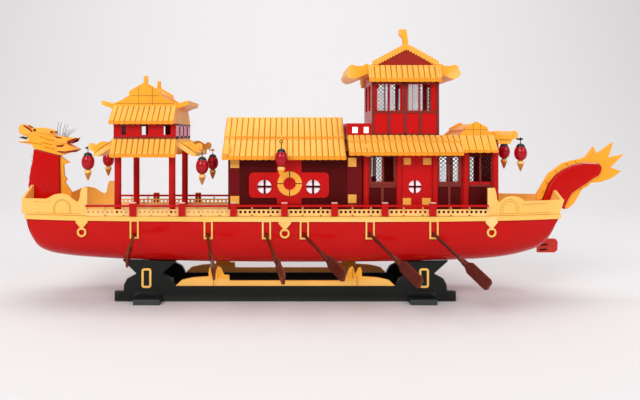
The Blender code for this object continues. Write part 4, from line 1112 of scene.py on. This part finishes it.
# Profiles as (radius, height over the bead's middle)
BEAD_PROFILE = ((2.8, 9.6), *((7.9 * math.cos(t) ** 0.75, 0.2 + 9.6 * math.sin(t))
                              for t in between(1.25, -1.2, 14)), (2.6, -9.3))
CAP_PROFILE = ((0.4, 12.8), (1.6, 12.4), (4.0, 11.2), (5.2, 9.2), (5.5, 7.8), (0.4, 7.4))
FOOT_PROFILE = ((1.6, -8.2), (3.2, -8.6), (2.6, -10.2), (1.2, -10.6))
BAND_PROFILE = ((0.4, -9.6), (3.2, -9.8), (4.5, -11.2), (4.7, -12.6), (4.2, -13.6), (0.4, -13.6))
TASSEL_PROFILE = ((2.6, -9.4), (4, -11), (4.3, -12.6), (3.5, -15.5), (2.4, -18.5), (1.3, -21.5), (0.5, -23))
STRANDS = 18
HOOK_RADIUS = 1.9


def tassel(middle):
    """A bundle of threads that tapers to a point."""
    rings = []
    for radius, z in TASSEL_PROFILE:
        turns = [(math.pi * k / STRANDS, radius * (1.0 if k % 2 else 0.86)) for k in range(2 * STRANDS)]
        rings.append([middle + Vector((reach * math.cos(t), reach * math.sin(t), z)) for t, reach in turns])
    shape = Shape()
    shape.loft(rings)
    return shape


class BOAT_OT_lanterns(bpy.types.Operator):
    """Glossy bead under a black cap and hook, with an orange tassel"""
    bl_idname = "boat.lanterns"
    bl_label = "Lanterns"

    def execute(self, context):
        for joint in frame["record"]["behaviour"]["joints"]:
            name = joint["child"]
            if not name.startswith("lantern"):
                continue
            pin = Vector(joint["pos_m"]) / MM
            sideways = joint["axis"][0] == 1
            across = Vector((0, 1, 0)) if sideways else Vector((1, 0, 0))
            middle = pin - Vector((0, 0, LANTERN_DROP if sideways else LANTERN_DROP + LONG_HOOK))
            bead, cap, band = Shape(), Shape(), Shape()
            bead.turned(BEAD_PROFILE, 28, middle)
            finish_piece(bead, name + "_bead", "bead gloss", name, (name,), smooth=40)
            cap.turned(CAP_PROFILE, 20, middle)
            cap.turned(FOOT_PROFILE, 16, middle)
            hook = [pin + (across * math.cos(t) + Vector((0, 0, math.sin(t)))) * HOOK_RADIUS
                    for t in between(-1.57, 4.4, 14)]
            cap.tube([middle + Vector((0, 0, 12)), pin + Vector((0, 0, -3.2))] + hook, 0.5, 6)
            finish_piece(cap, name + "_cap", "cap gloss", name, smooth=40)
            band.turned(BAND_PROFILE, 18, middle)
            finish_piece(band, name + "_band", "pale paint", name, smooth=40)
            thread = "tassel thread" if sideways else "roof paint"
            finish_piece(tassel(middle), name + "_tassel", thread, name, smooth=60)
        wires = Shape()
        for y in (-30, 30):
            wires.tube([(242, y, 212), (246, y, 208.2), (248.6, y, 205.5), (255.2, y, 205.5)], 1.15)
        for y in (-42, 42):
            wires.tube([(-290, y, 194.5), (-300.2, y, 194.5)], 1.1)
        finish_piece(wires, "lantern_wires", "black wire", smooth=60)
        return {"FINISHED"}


CRADLE_MIDDLE = -48.5
# Distances from the cradle's middle along x: the feet's recesses, the brackets' frames
RECESS_AT = 174.7
BRACKET_AT = 175.2
CORNER = 3.5
FRAME_WIDTH = 2.7
# Lines on the fret: distance from the cradle's middle along x, z from and to
FRET_LINES = ((90.2, 21, 33.5), (84.6, 30, 43))


def rounded(left, right, bottom, top, inset=0.0):
    """A rectangle's outline with round corners, drawn in by inset."""
    points = []
    for x, z, turn in ((right - CORNER, top - CORNER, 0), (left + CORNER, top - CORNER, 90),
                       (left + CORNER, bottom + CORNER, 180), (right - CORNER, bottom + CORNER, 270)):
        points += arc(x, z, CORNER - inset, turn, turn + 90, 4)
    return points


class BOAT_OT_cradle(bpy.types.Operator):
    """Yellow frames on the cradle's brackets, the lines on its fret, and black sheets of painted shade in
    the feet's recesses
    """
    bl_idname = "boat.cradle"
    bl_label = "Cradle"

    def execute(self, context):
        frames, lines, recess_shade = Shape(), Shape(), Shape()
        for way in (-1, 1):
            x = CRADLE_MIDDLE + way * RECESS_AT
            # black sheets: painted shade in the recesses of the feet
            both(recess_shade, rectangle(x - 15.8, x + 15.8, 7.2, 12.4), 39.6, 40.3)
            x = CRADLE_MIDDLE + way * BRACKET_AT
            sides = (x - 6.2, x + 6.2, 17.7, 42.5)
            both(frames, rounded(*sides), 39.8, 41.2, [rounded(*sides, FRAME_WIDTH)])
            # darker lines on the fret in place of cuts: painted shade
            for distance, low, high in FRET_LINES:
                x = CRADLE_MIDDLE + way * distance
                cut_lines(lines, [(43.3, 0.45, [(x, low), (x, high)])])
        finish_piece(frames, "cradle_frames", "pale paint", edge=0.3)
        finish_piece(lines, "cradle_lines", "groove shade paint")
        finish_piece(recess_shade, "cradle_recess_shade", "cap gloss")
        return {"FINISHED"}


# Stage

# The camera stands level; its shift is the photograph's own crop
CAMERA_PLACE = (-40.0, -798.0, 210.8)
CAMERA_LENS = 33.75
CAMERA_SHIFT = (0.04375, -0.1016)


class BOAT_OT_stage(bpy.types.Operator):
    """Pale floor, soft lights and the camera"""
    bl_idname = "boat.stage"
    bl_label = "Studio"

    def execute(self, context):
        scene = context.scene
        profile = [(y, 0.0) for y in (-3.0, 0.0, 0.9)] + [
            (0.9 + 1.2 * math.sin(t), 1.2 - 1.2 * math.cos(t))
            for t in between(0, math.pi / 2, 12)[1:]] + [(2.1, 4.5)]
        points = [(x, y, z) for y, z in profile for x in (-5.0, 5.0)]
        faces = [(2 * i, 2 * i + 1, 2 * i + 3, 2 * i + 2) for i in range(len(profile) - 1)]
        mesh = bpy.data.meshes.new("floor")
        mesh.from_pydata(points, [], faces)
        mesh.shade_smooth()
        floor = bpy.data.objects.new("floor", mesh)
        scene.collection.objects.link(floor)
        paper = bpy.data.materials.new("studio paper")
        paper.use_nodes = True
        shader = paper.node_tree.nodes["Principled BSDF"]
        shader.inputs["Base Color"].default_value = (0.76, 0.74, 0.74, 1)
        shader.inputs["Roughness"].default_value = 0.85
        mesh.materials.append(paper)

        lights = (
            # name, place, aimed at, width, height, power
            ("key light", (-1.0, -1.9, 1.5), (0, 0, 0.15), 1.4, 1.0, 33),
            ("fill light", (1.4, -1.5, 1.2), (0, 0, 0.15), 1.2, 1.0, 14),
            ("top light", (0.0, 0.3, 2.2), (0, 0.1, 0.1), 2.2, 1.4, 17),
            ("backdrop light", (0.0, 0.5, 2.4), (0, 2.1, 1.2), 3.0, 0.8, 20),
        )
        for name, place, aim, width, height, power in lights:
            data = bpy.data.lights.new(name, "AREA")
            data.shape = "RECTANGLE"
            data.size, data.size_y, data.energy = width, height, power
            made = bpy.data.objects.new(name, data)
            scene.collection.objects.link(made)
            made.location = place
            made.rotation_euler = (Vector(aim) - Vector(place)).to_track_quat("-Z", "Y").to_euler()

        world = bpy.data.worlds.new("studio")
        scene.world = world
        world.use_nodes = True
        world.node_tree.nodes["Background"].inputs["Color"].default_value = (0.95, 0.96, 1.0, 1)
        world.node_tree.nodes["Background"].inputs["Strength"].default_value = 0.4
        scene.view_settings.view_transform = "Standard"
        scene.view_settings.look = "None"

        data = bpy.data.cameras.new("camera")
        data.lens = CAMERA_LENS
        data.clip_start, data.clip_end = 0.01, 100.0
        camera = bpy.data.objects.new("camera", data)
        scene.collection.objects.link(camera)
        camera.location = Vector(CAMERA_PLACE) * MM
        camera.rotation_euler = (math.radians(90), 0, 0)
        data.shift_x, data.shift_y = CAMERA_SHIFT
        scene.camera = camera
        return {"FINISHED"}


OPERATORS = (
    BOAT_OT_hull, BOAT_OT_boards, BOAT_OT_roofs, BOAT_OT_walls, BOAT_OT_lattice, BOAT_OT_fence,
    BOAT_OT_bulwarks, BOAT_OT_gables, BOAT_OT_dragon, BOAT_OT_lanterns, BOAT_OT_cradle, BOAT_OT_stage,
)


class BOAT_PT_panel(bpy.types.Panel):
    """Lists the pieces of the boat"""
    bl_idname = "BOAT_PT_panel"
    bl_label = "Dragon boat"
    bl_space_type = "VIEW_3D"
    bl_region_type = "UI"
    bl_category = "Dragon boat"

    def draw(self, context):
        for operator in OPERATORS:
            self.layout.operator(operator.bl_idname)
        for group in (context.scene.boat_sizes, context.scene.boat_colours):
            box = self.layout.box()
            for name in type(group).__annotations__:
                box.prop(group, name)


CLASSES = (BoatSizes, BoatColours) + OPERATORS + (BOAT_PT_panel,)


def register():
    for item in CLASSES:
        bpy.utils.register_class(item)
    bpy.types.Scene.boat_sizes = bpy.props.PointerProperty(type=BoatSizes)
    bpy.types.Scene.boat_colours = bpy.props.PointerProperty(type=BoatColours)


def unregister():
    del bpy.types.Scene.boat_colours
    del bpy.types.Scene.boat_sizes
    for item in reversed(CLASSES):
        bpy.utils.unregister_class(item)


def main():
    register()
    make_finishes()
    for operator in OPERATORS:
        getattr(bpy.ops.boat, operator.bl_idname.split(".")[1])()


if __name__ == "__main__":
    main()
